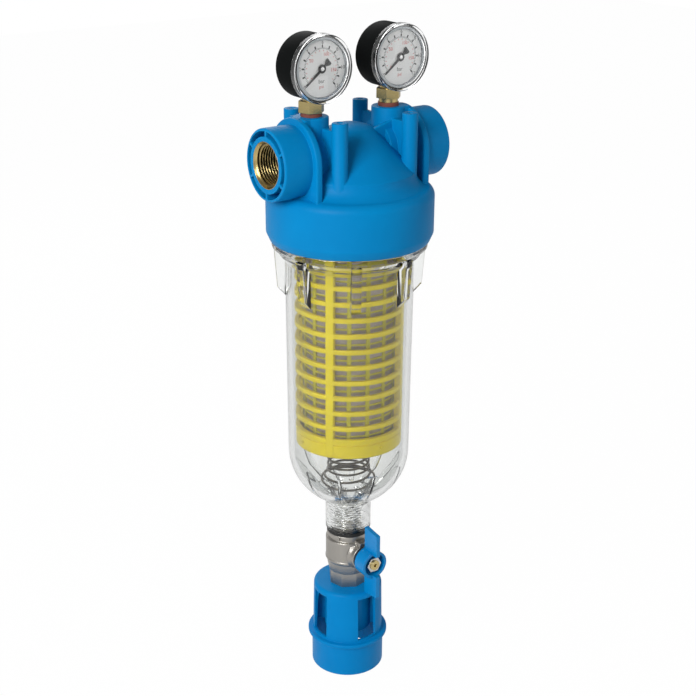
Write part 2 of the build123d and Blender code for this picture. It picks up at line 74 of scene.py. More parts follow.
# A mesh object at the origin, merged, closed, with normals pointing outwards.
def meshPiece(name, points, faces, sharpAngle=32.0):
    mesh = bpy.data.meshes.new(name)
    mesh.from_pydata((np.asarray(points) * mm).tolist(), [], [list(face) for face in faces])
    work = bmesh.new()
    work.from_mesh(mesh)
    bmesh.ops.remove_doubles(work, verts=work.verts, dist=1e-6)
    bmesh.ops.recalc_face_normals(work, faces=work.faces)
    work.to_mesh(mesh)
    work.free()
    mesh.shade_smooth()
    mesh.set_sharp_from_angle(angle=math.radians(sharpAngle))
    piece = bpy.data.objects.new(name, mesh)
    bpy.context.scene.collection.objects.link(piece)
    return piece


def gridPiece(name, grid, closeRows=False, closeColumns=True, sharpAngle=32.0):
    rows, columns = grid.shape[:2]
    faces = gridFaces(rows, columns, closeRows, closeColumns)
    return meshPiece(name, grid.reshape(-1, 3), faces, sharpAngle)


# Corners (radius, height, rounding) with each sharp corner swapped for a tangent arc.
def roundedOutline(corners, closed=False, steps=5):
    outline = []
    count = len(corners)
    for index, (radius, height, rounding) in enumerate(corners):
        point = np.array([radius, height], float)
        if rounding <= 0 or (not closed and index in (0, count - 1)):
            outline.append(point)
            continue
        before = np.array(corners[index - 1][:2], float) - point
        after = np.array(corners[(index + 1) % count][:2], float) - point
        before /= np.linalg.norm(before)
        after /= np.linalg.norm(after)
        half = math.acos(np.clip(before @ after, -1, 1)) / 2
        if half > math.radians(88):
            outline.append(point)
            continue
        bisector = (before + after) / np.linalg.norm(before + after)
        centre = point + bisector * rounding / math.sin(half)
        first = point + before * rounding / math.tan(half) - centre
        last = point + after * rounding / math.tan(half) - centre
        sweep = math.pi - 2 * half
        for step in range(steps + 1):
            share = step / steps
            mixed = (math.sin((1 - share) * sweep) * first + math.sin(share * sweep) * last) / math.sin(sweep)
            outline.append(centre + mixed)
    return np.array(outline)


# Points on the circle through three points, from the first to the last.
def arcThrough(first, middle, last, steps=12):
    corners = [np.array(corner, float) for corner in (first, middle, last)]
    chords = np.array([corners[1] - corners[0], corners[2] - corners[1]])
    squares = [corner @ corner for corner in corners]
    halves = np.array([squares[1] - squares[0], squares[2] - squares[1]]) / 2
    centre = np.linalg.solve(chords, halves)
    turns = np.unwrap([math.atan2(*(corner - centre)[::-1]) for corner in corners])
    angle = np.linspace(turns[0], turns[2], steps + 1)
    radius = np.linalg.norm(corners[0] - centre)
    return centre + radius * np.stack([np.cos(angle), np.sin(angle)], -1)


# Points r*cos(t), r*sin(t), h for each outline point (r, h) and each angle t.
def turnedGrid(outline, segments=128, start=0.0, span=360.0):
    closed = abs(span - 360.0) < 1e-6
    angle = np.radians(start + np.linspace(0, span, segments, endpoint=not closed))
    radius = outline[:, 0][:, None]
    height = outline[:, 1][:, None] + 0 * angle
    return np.stack([radius * np.cos(angle), radius * np.sin(angle), height], -1)


# Turns a Z-axis grid so that its height runs along Y.
def alongY(grid):
    return np.stack([grid[..., 0], grid[..., 2], -grid[..., 1]], -1)


# Turns a Z-axis grid so that its height runs along X.
def alongX(grid):
    return np.stack([grid[..., 2], grid[..., 0], grid[..., 1]], -1)


# A round tube: a circle carried along the path on frames kept level with Z.
def tubeGrid(path, radius, sides=16):
    path = np.asarray(path, float)
    tangent = np.gradient(path, axis=0)
    tangent /= np.linalg.norm(tangent, axis=1, keepdims=True)
    up = np.array([0.0, 0.0, 1.0]) + 0 * tangent
    side = np.cross(tangent, up)
    side /= np.linalg.norm(side, axis=1, keepdims=True)
    up = np.cross(side, tangent)
    angle = np.linspace(0, 2 * math.pi, sides, endpoint=False)
    ring = np.cos(angle)[None, :, None] * side[:, None, :] + np.sin(angle)[None, :, None] * up[:, None, :]
    radii = np.broadcast_to(np.asarray(radius, float), (len(path),))
    return path[:, None, :] + ring * radii[:, None, None]


# Adds the centre of the first and last ring as poles, so that the ends are closed.
def capped(grid):
    first = np.broadcast_to(grid[0].mean(0), grid[0].shape)[None]
    last = np.broadcast_to(grid[-1].mean(0), grid[-1].shape)[None]
    return np.concatenate([first, grid, last])


# Joins meshes into one object named after its part.
def joinPieces(name, pieces):
    bpy.ops.object.select_all(action="DESELECT")
    for piece in pieces:
        piece.select_set(True)
    bpy.context.view_layer.objects.active = pieces[0]
    bpy.ops.object.join()
    pieces[0].name = name
    pieces[0].data.name = name
    return pieces[0]


# Applies an exact boolean and removes the tool.
def uniteWith(piece, other, operation="UNION"):
    modifier = piece.modifiers.new("join", "BOOLEAN")
    modifier.operation = operation
    modifier.solver = "EXACT"
    modifier.object = other
    bpy.context.view_layer.objects.active = piece
    bpy.ops.object.modifier_apply(modifier=modifier.name)
    bpy.data.objects.remove(other)
    piece.data.shade_smooth()
    piece.data.set_sharp_from_angle(angle=math.radians(32))
    return piece


# Applies one exact boolean with several tools at once and removes them.
def combine(piece, others, operation):
    group = bpy.data.collections.new("tools")
    for other in others:
        group.objects.link(other)
    modifier = piece.modifiers.new("join", "BOOLEAN")
    modifier.operation = operation
    modifier.solver = "EXACT"
    modifier.operand_type = "COLLECTION"
    modifier.collection = group
    bpy.context.view_layer.objects.active = piece
    bpy.ops.object.modifier_apply(modifier=modifier.name)
    for other in others:
        bpy.data.objects.remove(other)
    bpy.data.collections.remove(group)
    piece.data.shade_smooth()
    piece.data.set_sharp_from_angle(angle=math.radians(32))
    return piece


# Gives a piece its material, its body and the CAD nodes that it stands for.
def finishPiece(piece, body, material, slotName, *nodes):
    piece.data.materials.clear()
    piece.data.materials.append(material)
    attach(piece, body)
    if nodes:
        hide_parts(*nodes)
    return piece


# A flat outline of (x, z) corners given a thickness along Y, less taper times x, edges bevelled.
def blockPiece(name, corners, depth, rounding=0.0, taper=0.0):
    outline = np.array(corners, float)
    count = len(outline)
    narrowing = taper / 2 * (outline[:, 0] - outline[:, 0].min())
    near = np.stack([outline[:, 0], depth[0] + narrowing, outline[:, 1]], -1)
    far = np.stack([outline[:, 0], depth[1] - narrowing, outline[:, 1]], -1)
    faces = [list(range(count)), list(range(2 * count - 1, count - 1, -1))]
    for index in range(count):
        following = (index + 1) % count
        faces.append([index, index + count, following + count, following])
    piece = meshPiece(name, np.concatenate([near, far]), faces)
    if rounding:
        bevel = piece.modifiers.new("edges", "BEVEL")
        bevel.width = rounding * mm
        bevel.segments = 3
        bpy.context.view_layer.objects.active = piece
        bpy.ops.object.modifier_apply(modifier="edges")
    return piece


# Shared effects as node groups

def groupSockets(group, inputs, outputs):
    for name, kind, value in inputs:
        socket = group.interface.new_socket(name, in_out="INPUT", socket_type=kind)
        socket.default_value = value
    for name, kind in outputs:
        group.interface.new_socket(name, in_out="OUTPUT", socket_type=kind)
    enter = group.nodes.new("NodeGroupInput")
    leave = group.nodes.new("NodeGroupOutput")
    return enter, leave


def mathNode(nodes, links, operation, first, second=None, third=None):
    node = nodes.new("ShaderNodeMath")
    node.operation = operation
    for index, value in enumerate((first, second, third)):
        if value is None:
            continue
        if isinstance(value, (int, float)):
            node.inputs[index].default_value = value
        else:
            links.new(value, node.inputs[index])
    return node.outputs[0]


def mixColor(nodes, links, factor, first, second, blend="MIX"):
    node = nodes.new("ShaderNodeMix")
    node.data_type = "RGBA"
    node.blend_type = blend
    for socket, value in ((node.inputs[0], factor), (node.inputs[6], first), (node.inputs[7], second)):
        if isinstance(value, (int, float)):
            socket.default_value = value
        elif isinstance(value, (tuple, list)):
            socket.default_value = tuple(value)[:3] + (1.0,)
        else:
            links.new(value, socket)
    return node.outputs[2]


# Mask of outer edges: where the bevelled normal leaves the true one, broken by noise.
def buildEdgeWear():
    group = bpy.data.node_groups.new("edgeWear", "ShaderNodeTree")
    enter, leave = groupSockets(
        group,
        [("Width", "NodeSocketFloat", 0.0006), ("Amount", "NodeSocketFloat", 0.5)],
        [("Mask", "NodeSocketFloat"), ("Normal", "NodeSocketVector")],
    )
    nodes, links = group.nodes, group.links
    bevel = nodes.new("ShaderNodeBevel")
    bevel.samples = 6
    links.new(enter.outputs["Width"], bevel.inputs["Radius"])
    geometry = nodes.new("ShaderNodeNewGeometry")
    dot = nodes.new("ShaderNodeVectorMath")
    dot.operation = "DOT_PRODUCT"
    links.new(bevel.outputs[0], dot.inputs[0])
    links.new(geometry.outputs["Normal"], dot.inputs[1])
    away = mathNode(nodes, links, "SUBTRACT", 1.0, dot.outputs["Value"])
    place = nodes.new("ShaderNodeTexCoord")
    noise = nodes.new("ShaderNodeTexNoise")
    noise.inputs["Scale"].default_value = 420.0
    noise.inputs["Detail"].default_value = 4.0
    links.new(place.outputs["Object"], noise.inputs["Vector"])
    broken = mathNode(nodes, links, "MULTIPLY", away, noise.outputs[0])
    scaled = mathNode(nodes, links, "MULTIPLY", broken, 7.0)
    amount = mathNode(nodes, links, "MULTIPLY", scaled, enter.outputs["Amount"])
    limited = mathNode(nodes, links, "MINIMUM", amount, 1.0)
    links.new(limited, leave.inputs["Mask"])
    links.new(bevel.outputs[0], leave.inputs["Normal"])
    return group


# Height and tone of a fine surface grain: two noises of different size.
def buildGrain():
    group = bpy.data.node_groups.new("surfaceGrain", "ShaderNodeTree")
    enter, leave = groupSockets(
        group,
        [("Fine", "NodeSocketFloat", 1800.0), ("Broad", "NodeSocketFloat", 60.0)],
        [("Height", "NodeSocketFloat"), ("Tone", "NodeSocketFloat")],
    )
    nodes, links = group.nodes, group.links
    place = nodes.new("ShaderNodeTexCoord")
    results = []
    for name, detail in (("Fine", 3.0), ("Broad", 5.0)):
        noise = nodes.new("ShaderNodeTexNoise")
        noise.inputs["Detail"].default_value = detail
        links.new(place.outputs["Object"], noise.inputs["Vector"])
        links.new(enter.outputs[name], noise.inputs["Scale"])
        results.append(noise.outputs[0])
    links.new(results[0], leave.inputs["Height"])
    links.new(results[1], leave.inputs["Tone"])
    return group


# Small dark or pale flecks: cells whose random value passes a limit.
def buildSpeckle():
    group = bpy.data.node_groups.new("fleckMask", "ShaderNodeTree")
    enter, leave = groupSockets(
        group,
        [("Scale", "NodeSocketFloat", 260.0), ("Limit", "NodeSocketFloat", 0.93)],
        [("Mask", "NodeSocketFloat")],
    )
    nodes, links = group.nodes, group.links
    place = nodes.new("ShaderNodeTexCoord")
    cells = nodes.new("ShaderNodeTexVoronoi")
    links.new(place.outputs["Object"], cells.inputs["Vector"])
    links.new(enter.outputs["Scale"], cells.inputs["Scale"])
    split = nodes.new("ShaderNodeSeparateColor")
    links.new(cells.outputs["Color"], split.inputs[0])
    chosen = mathNode(nodes, links, "GREATER_THAN", split.outputs[0], enter.outputs["Limit"])
    close = mathNode(nodes, links, "LESS_THAN", cells.outputs["Distance"], 0.16)
    links.new(mathNode(nodes, links, "MULTIPLY", chosen, close), leave.inputs["Mask"])
    return group


edgeWear = buildEdgeWear()
surfaceGrain = buildGrain()
fleckMask = buildSpeckle()
print("effect groups built")


# Materials

def newMaterial(name):
    material = bpy.data.materials.new(name)
    material.use_nodes = True
    tree = material.node_tree
    return material, tree.nodes, tree.links, tree.nodes["Principled BSDF"]


def placeGroup(nodes, group, **values):
    node = nodes.new("ShaderNodeGroup")
    node.node_tree = group
    for name, value in values.items():
        node.inputs[name].default_value = value
    return node


# A finish with broad tone changes, fine grain, edge wear and, if asked, flecks or painted shade in the thread roots.
def solidFinish(name, look):
    material, nodes, links, shader = newMaterial(name)
    grain = placeGroup(nodes, surfaceGrain, Fine=look["fine"], Broad=look["broad"])
    wear = placeGroup(nodes, edgeWear, Width=look["edgeWidth"] * mm, Amount=look["wear"])
    tone = mixColor(nodes, links, grain.outputs["Tone"], look["dark"], look["light"])
    if look.get("flecks"):
        fleck = placeGroup(nodes, fleckMask, Scale=look["fleckScale"], Limit=1 - look["flecks"])
        tone = mixColor(nodes, links, fleck.outputs["Mask"], tone, look["fleckColor"])
    wearAndRootShade = mixColor(nodes, links, wear.outputs["Mask"], tone, look["edge"])
    # Painted shade: where the crest attribute falls to 0, in the thread roots, the colour goes to a near-black shade
    # colour.
    if look.get("gap"):
        crest = nodes.new("ShaderNodeAttribute")
        crest.attribute_name = "crest"
        wearAndRootShade = mixColor(nodes, links, crest.outputs["Fac"], look["gap"], wearAndRootShade)
    links.new(wearAndRootShade, shader.inputs["Base Color"])
    spread = mathNode(nodes, links, "MULTIPLY_ADD", grain.outputs["Tone"], look["roughSpread"], look["rough"])
    links.new(spread, shader.inputs["Roughness"])
    shader.inputs["Metallic"].default_value = look.get("metallic", 0.0)
    shader.inputs["IOR"].default_value = look.get("ior", 1.5)
    shader.inputs["Specular IOR Level"].default_value = look.get("specular", 0.5)
    shader.inputs["Coat Weight"].default_value = look.get("coat", 0.0)
    shader.inputs["Coat Roughness"].default_value = look.get("coatRough", 0.1)
    bump = nodes.new("ShaderNodeBump")
    bump.inputs["Strength"].default_value = look["bump"]
    bump.inputs["Distance"].default_value = 0.0004
    links.new(grain.outputs["Height"], bump.inputs["Height"])
    links.new(wear.outputs["Normal"], bump.inputs["Normal"])
    links.new(bump.outputs[0], shader.inputs["Normal"])
    return material


# A clear plastic with faint flow waves in its surface, and painted shade that darkens it where it is seen at a slant.
def clearFinish(name, look):
    material, nodes, links, shader = newMaterial(name)
    grain = placeGroup(nodes, surfaceGrain, Fine=look["fine"], Broad=look["broad"])
    tone = mixColor(nodes, links, grain.outputs["Tone"], look["dark"], look["light"])
    # Painted shade: towards a slant the colour mixes into the look's edge colour.
    slant = nodes.new("ShaderNodeLayerWeight")
    slant.inputs["Blend"].default_value = look["slantShadeBlend"]
    slantShaded = mixColor(nodes, links, slant.outputs["Facing"], tone, look["edge"])
    links.new(slantShaded, shader.inputs["Base Color"])
    shader.inputs["Transmission Weight"].default_value = 1.0
    shader.inputs["IOR"].default_value = look["ior"]
    spread = mathNode(nodes, links, "MULTIPLY_ADD", grain.outputs["Tone"], look["roughSpread"], look["rough"])
    links.new(spread, shader.inputs["Roughness"])
    bump = nodes.new("ShaderNodeBump")
    bump.inputs["Strength"].default_value = look["bump"]
    bump.inputs["Distance"].default_value = 0.0006
    links.new(grain.outputs["Tone"], bump.inputs["Height"])
    links.new(bump.outputs[0], shader.inputs["Normal"])
    return material


# Woven steel: crossing wires from the piece's UV map, open between them, with painted shade in the openings.
def gauzeFinish(name, look):
    material, nodes, links, shader = newMaterial(name)
    place = nodes.new("ShaderNodeUVMap")
    place.uv_map = "wrap"
    split = nodes.new("ShaderNodeSeparateXYZ")
    links.new(place.outputs[0], split.inputs[0])
    waves = []
    for axis in (0, 1):
        turned = mathNode(nodes, links, "MULTIPLY", split.outputs[axis], look["wires"] * math.pi)
        wave = mathNode(nodes, links, "SINE", turned)
        waves.append(mathNode(nodes, links, "ABSOLUTE", wave))
    height = mathNode(nodes, links, "MAXIMUM", waves[0], waves[1])
    solid = mathNode(nodes, links, "GREATER_THAN", height, look["open"])
    grain = placeGroup(nodes, surfaceGrain, Fine=look["fine"], Broad=look["broad"])
    tone = mixColor(nodes, links, grain.outputs["Tone"], look["dark"], look["light"])
    # Painted shade: between the wires the colour falls to the shade colour.
    shaded = mixColor(nodes, links, height, look["shade"], tone)
    links.new(shaded, shader.inputs["Base Color"])
    cover = mathNode(nodes, links, "MAXIMUM", solid, look["cover"])
    links.new(cover, shader.inputs["Alpha"])
    shader.inputs["Metallic"].default_value = look["metallic"]
    spread = mathNode(nodes, links, "MULTIPLY_ADD", grain.outputs["Tone"], look["roughSpread"], look["rough"])
    links.new(spread, shader.inputs["Roughness"])
    bump = nodes.new("ShaderNodeBump")
    bump.inputs["Strength"].default_value = 0.5
    bump.inputs["Distance"].default_value = 0.0002
    links.new(height, bump.inputs["Height"])
    links.new(bump.outputs[0], shader.inputs["Normal"])
    return material


plainLook = {
    "fine": 2200.0, "broad": 45.0, "edgeWidth": 0.5, "wear": 0.3, "rough": 0.3, "roughSpread": 0.08, "bump": 0.12,
}
blueHeadLook = dict(
    plainLook, dark=(0.0, 0.175, 0.43), light=(0.0, 0.215, 0.50), edge=(0.0, 0.33, 0.67),
    edgeWidth=0.9, wear=0.3, rough=0.38, bump=0.16, specular=0.15, ior=1.3,
)
blueAdapterLook = dict(
    plainLook, dark=(0.0, 0.18, 0.47), light=(0.0, 0.215, 0.53), edge=(0.0, 0.33, 0.68), rough=0.36, specular=0.15,
    ior=1.3,
)
blueHandleLook = dict(
    plainLook, dark=(0.0, 0.185, 0.48), light=(0.0, 0.22, 0.54), edge=(0.02, 0.36, 0.72), rough=0.22,
    specular=0.45, ior=1.35, edgeWidth=0.4,
)
yellowLook = dict(
    plainLook, dark=(0.89, 0.71, 0.0), light=(0.98, 0.81, 0.0), edge=(1.0, 0.89, 0.01), rough=0.36, specular=0.25, ior=1.3,
)
# The core grid is the cage's yellow plastic; this darker olive copy of it is painted shade for the grid lying in shadow
# inside the cage.
shadedCoreLook = dict(
    plainLook, dark=(0.52, 0.48, 0.012), light=(0.64, 0.59, 0.016), edge=(0.76, 0.70, 0.03), rough=0.42, specular=0.25,
)
brassLook = dict(
    plainLook, dark=(0.50, 0.38, 0.15), light=(0.66, 0.54, 0.26), edge=(0.95, 0.86, 0.60), metallic=1.0,
    rough=0.22, fine=900.0, flecks=0.04, fleckScale=500.0, fleckColor=(0.22, 0.13, 0.05), edgeWidth=0.35,
)
# Thread brass: its near-black root colour is painted shade for the thread roots.
threadLook = dict(
    brassLook, dark=(0.40, 0.29, 0.11), light=(0.58, 0.45, 0.20), edge=(0.95, 0.84, 0.52), rough=0.25,
    gap=(0.022, 0.015, 0.007),
)
nickelLook = dict(
    plainLook, dark=(0.29, 0.275, 0.25), light=(0.42, 0.40, 0.37), edge=(0.78, 0.76, 0.72), metallic=0.9,
    rough=0.3, roughSpread=0.14, fine=700.0, bump=0.3, flecks=0.05, fleckScale=380.0,
    fleckColor=(0.26, 0.24, 0.21),
)
springLook = dict(
    plainLook, dark=(0.05, 0.044, 0.036), light=(0.13, 0.115, 0.098), edge=(0.42, 0.39, 0.35), metallic=1.0, rough=0.26,
)
steelLook = dict(
    plainLook, dark=(0.50, 0.50, 0.50), light=(0.70, 0.70, 0.69), edge=(0.95, 0.95, 0.94), metallic=1.0, rough=0.2,
    edgeWidth=0.3,
)
rubberLook = dict(
    plainLook, dark=(0.010, 0.010, 0.010), light=(0.022, 0.022, 0.022), edge=(0.06, 0.06, 0.06), rough=0.55,
    bump=0.35, specular=0.3,
)
redFibreLook = dict(
    plainLook, dark=(0.15, 0.045, 0.035), light=(0.24, 0.07, 0.05), edge=(0.32, 0.13, 0.09), rough=0.6, bump=0.4,
    specular=0.3,
)
whiteLook = dict(
    plainLook, dark=(0.80, 0.80, 0.79), light=(0.86, 0.86, 0.85), edge=(0.9, 0.9, 0.89), rough=0.4, bump=0.05,
    specular=0.3,
)
greyLook = dict(
    whiteLook, dark=(0.34, 0.37, 0.39), light=(0.46, 0.49, 0.51), edge=(0.6, 0.62, 0.63),
)
blackCaseLook = dict(
    plainLook, dark=(0.0035, 0.004, 0.004), light=(0.007, 0.008, 0.008), edge=(0.02, 0.02, 0.02),
    rough=0.42, bump=0.12, specular=0.05, ior=1.2,
)
inkBlackLook = dict(
    plainLook, dark=(0.004, 0.004, 0.004), light=(0.008, 0.008, 0.008), edge=(0.012, 0.012, 0.012), rough=0.5,
    specular=0.2, ior=1.2,
)
inkRedLook = dict(
    plainLook, dark=(0.50, 0.02, 0.012), light=(0.60, 0.03, 0.02), edge=(0.6, 0.05, 0.04), rough=0.5, specular=0.2,
)
# In the clear looks, the edge colour is painted shade, mixed in where the plastic is seen at a slant.
clearBowlLook = {
    "dark": (0.87, 0.88, 0.87), "light": (0.91, 0.92, 0.91), "edge": (0.50, 0.51, 0.505), "slantShadeBlend": 0.4,
    "ior": 1.5, "fine": 300.0, "broad": 22.0, "rough": 0.0, "roughSpread": 0.03, "bump": 0.06,
}
clearWindowLook = dict(
    clearBowlLook, dark=(0.955, 0.96, 0.96), light=(0.98, 0.985, 0.985), edge=(0.9, 0.905, 0.905), ior=1.49,
)
gauzeLook = {
    "wires": 1.6, "open": 0.93, "cover": 0.25, "fine": 900.0, "broad": 90.0, "metallic": 0.6,
    "dark": (0.34, 0.27, 0.235), "light": (0.84, 0.74, 0.70), "shade": (0.14, 0.105, 0.085),
    "rough": 0.28, "roughSpread": 0.2,
}

blueHead = solidFinish("blueHead", blueHeadLook)
blueAdapter = solidFinish("blueAdapter", blueAdapterLook)
blueHandle = solidFinish("blueHandle", blueHandleLook)
yellowPlastic = solidFinish("yellowPlastic", yellowLook)
shadedCorePlastic = solidFinish("shadedCorePlastic", shadedCoreLook)
brass = solidFinish("brass", brassLook)
threadBrass = solidFinish("threadBrass", threadLook)
nickel = solidFinish("nickelPlate", nickelLook)
springSteel = solidFinish("springSteel", springLook)
steel = solidFinish("zincSteel", steelLook)
rubber = solidFinish("blackRubber", rubberLook)
redFibre = solidFinish("redFibre", redFibreLook)
whitePlastic = solidFinish("whitePlastic", whiteLook)
greyPlastic = solidFinish("greyPlastic", greyLook)
blackCase = solidFinish("blackCase", blackCaseLook)
inkBlack = solidFinish("inkBlack", inkBlackLook)
inkRed = solidFinish("inkRed", inkRedLook)
clearBowl = clearFinish("clearBowl", clearBowlLook)
clearWindow = clearFinish("clearWindow", clearWindowLook)
gauze = gauzeFinish("steelGauze", gauzeLook)
print("materials built")


# Finishes of the pieces that keep their CAD shape

nodeFinish = {
    "bowl_seal": rubber,
    "cartridge_cap": yellowPlastic,
    "cartridge_seal": rubber,
    "valve_gasket": rubber,
    "valve_end": nickel,
    "ball_seat_upper": whitePlastic,
    "ball_seat_lower": whitePlastic,
    "valve_ball": nickel,
    "valve_stem": brass,
    "stem_packing": whitePlastic,
    "valve_handle": blueHandle,
    "handle_nut": steel,
}
gaugeFinish = {
    "gauge_socket": brass,
    "gauge_washer": redFibre,
    "gauge_tube": brass,
    "gauge_frame": brass,
    "gauge_pinion": brass,
    "gauge_sector": brass,
}
for sideName in ("inlet", "outlet"):
    for partName, material in gaugeFinish.items():
        nodeFinish[f"{sideName}_{partName}"] = material
for nodeName, material in nodeFinish.items():
    mesh = frame["nodes"][nodeName].data
    mesh.materials.clear()
    mesh.materials.append(material)


# Head moulding: turned shell, ports, bosses, posts and ribs joined, then bored

head = {
    "skirt": 52.99, "rim": 50.8, "bottom": -54.5, "rimTop": -49.0, "top": 26.0, "portRadius": 22.2, "portReach": 61.5,
    "flangeNear": 38.0, "flangeFar": 42.3, "flange": 26.0, "flangeLow": -23.0, "duct": 17.5, "bossX": 28.8,
    "boss": 10.6, "bridgeHalf": 8.6, "bridgeLow": 10.0, "post": 4.9, "postAt": 26.0, "postLow": -20.0,
    "ribHalf": 1.8, "ribLow": -12.0, "ribHigh": 20.0, "seat": 18.0, "seatHole": 12.0, "seatLow": -36.0,
    "neckBore": 47.0, "waterWay": 9.5, "throat": 11.8, "throatLength": 7.0, "groove": (17.2, 20.5, 9.0),
    "web": 0.8,
}


# A capped round bar along Z, X or forward Y with rounded far edge, from low to high.
def barPiece(name, radius, low, high, rounding=0.0, turn=None, centre=(0, 0, 0), segments=96):
    grid = turnedGrid(roundedOutline([
        (0, low, 0), (radius, low, 0), (radius, high, rounding), (0, high, 0),
    ], steps=4), segments)
    if turn:
        grid = turn(grid)
    return gridPiece(name, grid + np.array(centre, float))


# A four-cornered plate between y limits, given in the XZ plane, raised to the port axis.
def platePiece(name, corners, depth, rounding=0.0):
    return blockPiece(name, [(x, portHeight + z) for x, z in corners], depth, rounding)


def headShell():
    size = head
    rim = np.array([
        (0, size["bottom"]), (size["rim"] - 0.4, size["bottom"]), (size["rim"], size["bottom"] + 0.4),
        (size["skirt"] - 0.1, size["rimTop"] - 0.3), (size["skirt"], size["rimTop"] + 0.3),
    ])
    shoulder = arcThrough((size["skirt"], -26.0), (51.3, -22.0), (47.4, -20.3))
    foot = arcThrough((47.4, -20.3), (43.1, -17.2), (40.6, -10.6))
    slope = np.linspace((40.6, -10.6), (14.0, 15.6), 6)[1:-1]
    crown = arcThrough((14.0, 15.6), (7.1, 18.07), (0.0, 18.9))
    outline = np.concatenate([rim, shoulder, foot[1:], slope, crown])
    outline[-1, 0] = 0
    outline[:, 1] += portHeight
    return gridPiece("headShell", turnedGrid(outline, 192))


# Water space: outer ring, seat and seat hole in one form, with the clean water duct left standing in it.
def headChamber():
    size = head
    low = size["bottom"] - 5
    outline = roundedOutline([
        (0, low, 0), (size["neckBore"], low, 0), (size["neckBore"], -24.5, 1.0), (41.0, -24.5, 0.4), (41.0, -20.0, 0),
        (38.0, -13.6, 1.0), (20.0, 4.0, 0.8), (size["seat"], 3.0, 0), (size["seat"], size["seatLow"], 0),
        (size["seatHole"], size["seatLow"], 0), (size["seatHole"], 6.0, 0), (0, 6.0, 0),
    ], steps=3)
    outline[:, 1] += portHeight
    chamber = gridPiece("headChamber", turnedGrid(outline, 160))
    duct = barPiece("ductCore", 14.0, 15.0, 48.0, turn=alongX, centre=(0, 0, portHeight))
    return uniteWith(chamber, duct, "DIFFERENCE")


def headSide(side):
    size = head
    axis = (0, 0, portHeight)
    low, high = sorted((side * (size["flangeNear"] + 1), side * size["portReach"]))
    pieces = []
    port = turnedGrid(roundedOutline([
        (0, side * (size["flangeNear"] + 1), 0), (size["portRadius"], side * (size["flangeNear"] + 1), 0),
        (size["portRadius"], side * size["portReach"], 1.1), (0, side * size["portReach"], 0),
    ], steps=4), 128)
    pieces.append(gridPiece("headPort", alongX(port) + np.array(axis)))
    near, far = size["flangeNear"], size["flangeFar"]
    arc = np.radians(np.linspace(0, 180, 49))
    arch = [(size["flange"] * math.cos(a), size["flange"] * math.sin(a) + portHeight) for a in arc]
    arch += [(-size["flange"], portHeight + size["flangeLow"]), (size["flange"], portHeight + size["flangeLow"])]
    flange = blockPiece("headFlange", arch, (near, far), 0.9)
    flange.data.transform(Matrix.Rotation(math.radians(-90 * side), 4, "Z"))
    pieces.append(flange)
    pieces.append(barPiece("headDuct", size["duct"], *sorted((side * 19.0, side * (near + 1))), turn=alongX, centre=axis))
    centre = (side * size["bossX"], 0, portHeight)
    pieces.append(barPiece("headBoss", size["boss"], 0, size["top"], 0.8, centre=centre))
    inner, outer = sorted((side * size["bossX"], side * (near + 1)))
    pieces.append(platePiece("headBridge", [
        (inner, size["bridgeLow"]), (outer, size["bridgeLow"]), (outer, size["top"] - 0.15), (inner, size["top"] - 0.15),
    ], (-size["bridgeHalf"], size["bridgeHalf"])))
    for depth in (-1, 1):
        centre = (side * size["postAt"], depth * size["postAt"], portHeight)
        pieces.append(barPiece("headPost", size["post"], size["postLow"], size["top"], 0.5, centre=centre, segments=64))
        y = sorted((depth * 6.0, depth * size["postAt"]))
        x = side * size["postAt"]
        pieces.append(platePiece("headPostRib", [
            (x - size["ribHalf"], size["ribLow"]), (x + size["ribHalf"], size["ribLow"]),
            (x + size["ribHalf"], size["ribHigh"]), (x - size["ribHalf"], size["ribHigh"]),
        ], y, 0.5))
    sideRib = platePiece("headSideRib", [
        (10.0, 5.0), (10.0, 15.0), (size["bossX"], 20.6), (size["bossX"], 5.0),
    ], (-size["boss"], -size["boss"] + 3.2), 0.5)
    if side < 0:
        sideRib.data.transform(Matrix.Rotation(math.pi, 4, "Z"))
    pieces.append(sideRib)
    return pieces


# Bores, ring groove with its webs left standing, boss hole and post holes of one side.
def headCuts(side):
    size = head
    axis = (0, 0, portHeight)
    face = size["portReach"]
    cuts = []
    start = insert["length"]
    inner = -0.5 if side > 0 else 19.0
    bore = np.array([
        (0, face + 1), (insert["mouth"], face + 1), (insert["mouth"], face - insert["neck"]),
        (insert["body"], face - insert["neck"]), (insert["body"], face - start), (size["throat"], face - start),
        (size["throat"], face - start - size["throatLength"]), (size["waterWay"], face - start - size["throatLength"]),
        (size["waterWay"], inner), (0, inner),
    ])
    bore[:, 1] *= side
    cuts.append(gridPiece("cutBore", alongX(turnedGrid(bore, 96, 1.3)) + np.array(axis)))
    near, far, depth = size["groove"]
    for number in range(6):
        half = math.degrees(math.asin(size["web"] / far))
        angle = np.radians(np.linspace(number * 60 - 30 + half, number * 60 + 30 - half, 25))
        edge = [(r * math.cos(a), r * math.sin(a)) for r, turn in ((far, angle), (near, angle[::-1])) for a in turn]
        groove = blockPiece("cutGroove", [(y, z + portHeight) for y, z in edge], (face - depth, face + 1))
        groove.data.transform(Matrix.Rotation(math.radians(-90 * side), 4, "Z"))
        cuts.append(groove)
    top = size["top"]
    centre = (side * size["bossX"], 0, portHeight)
    cuts.append(barPiece("cutBoss", 4.9, top - 9.0, top + 1.0, centre=centre, segments=48))
    cuts.append(barPiece("cutDrill", 1.5, 5.0, top - 8.0, centre=centre, segments=24))
    for depth in (-1, 1):
        centre = (side * size["postAt"], depth * size["postAt"], portHeight)
        cuts.append(barPiece("cutPost", 1.9, top - 20.0, top + 1.0, centre=centre, segments=32))
    return cuts


def makeHead():
    shell = headShell()
    combine(shell, headSide(-1) + headSide(1), "UNION")
    combine(shell, [headChamber()] + headCuts(-1) + headCuts(1), "DIFFERENCE")
    shell.name = "headMoulding"
    return finishPiece(shell, "head", blueHead, "blue_plastic", "head")


# Port inserts with real thread ridges

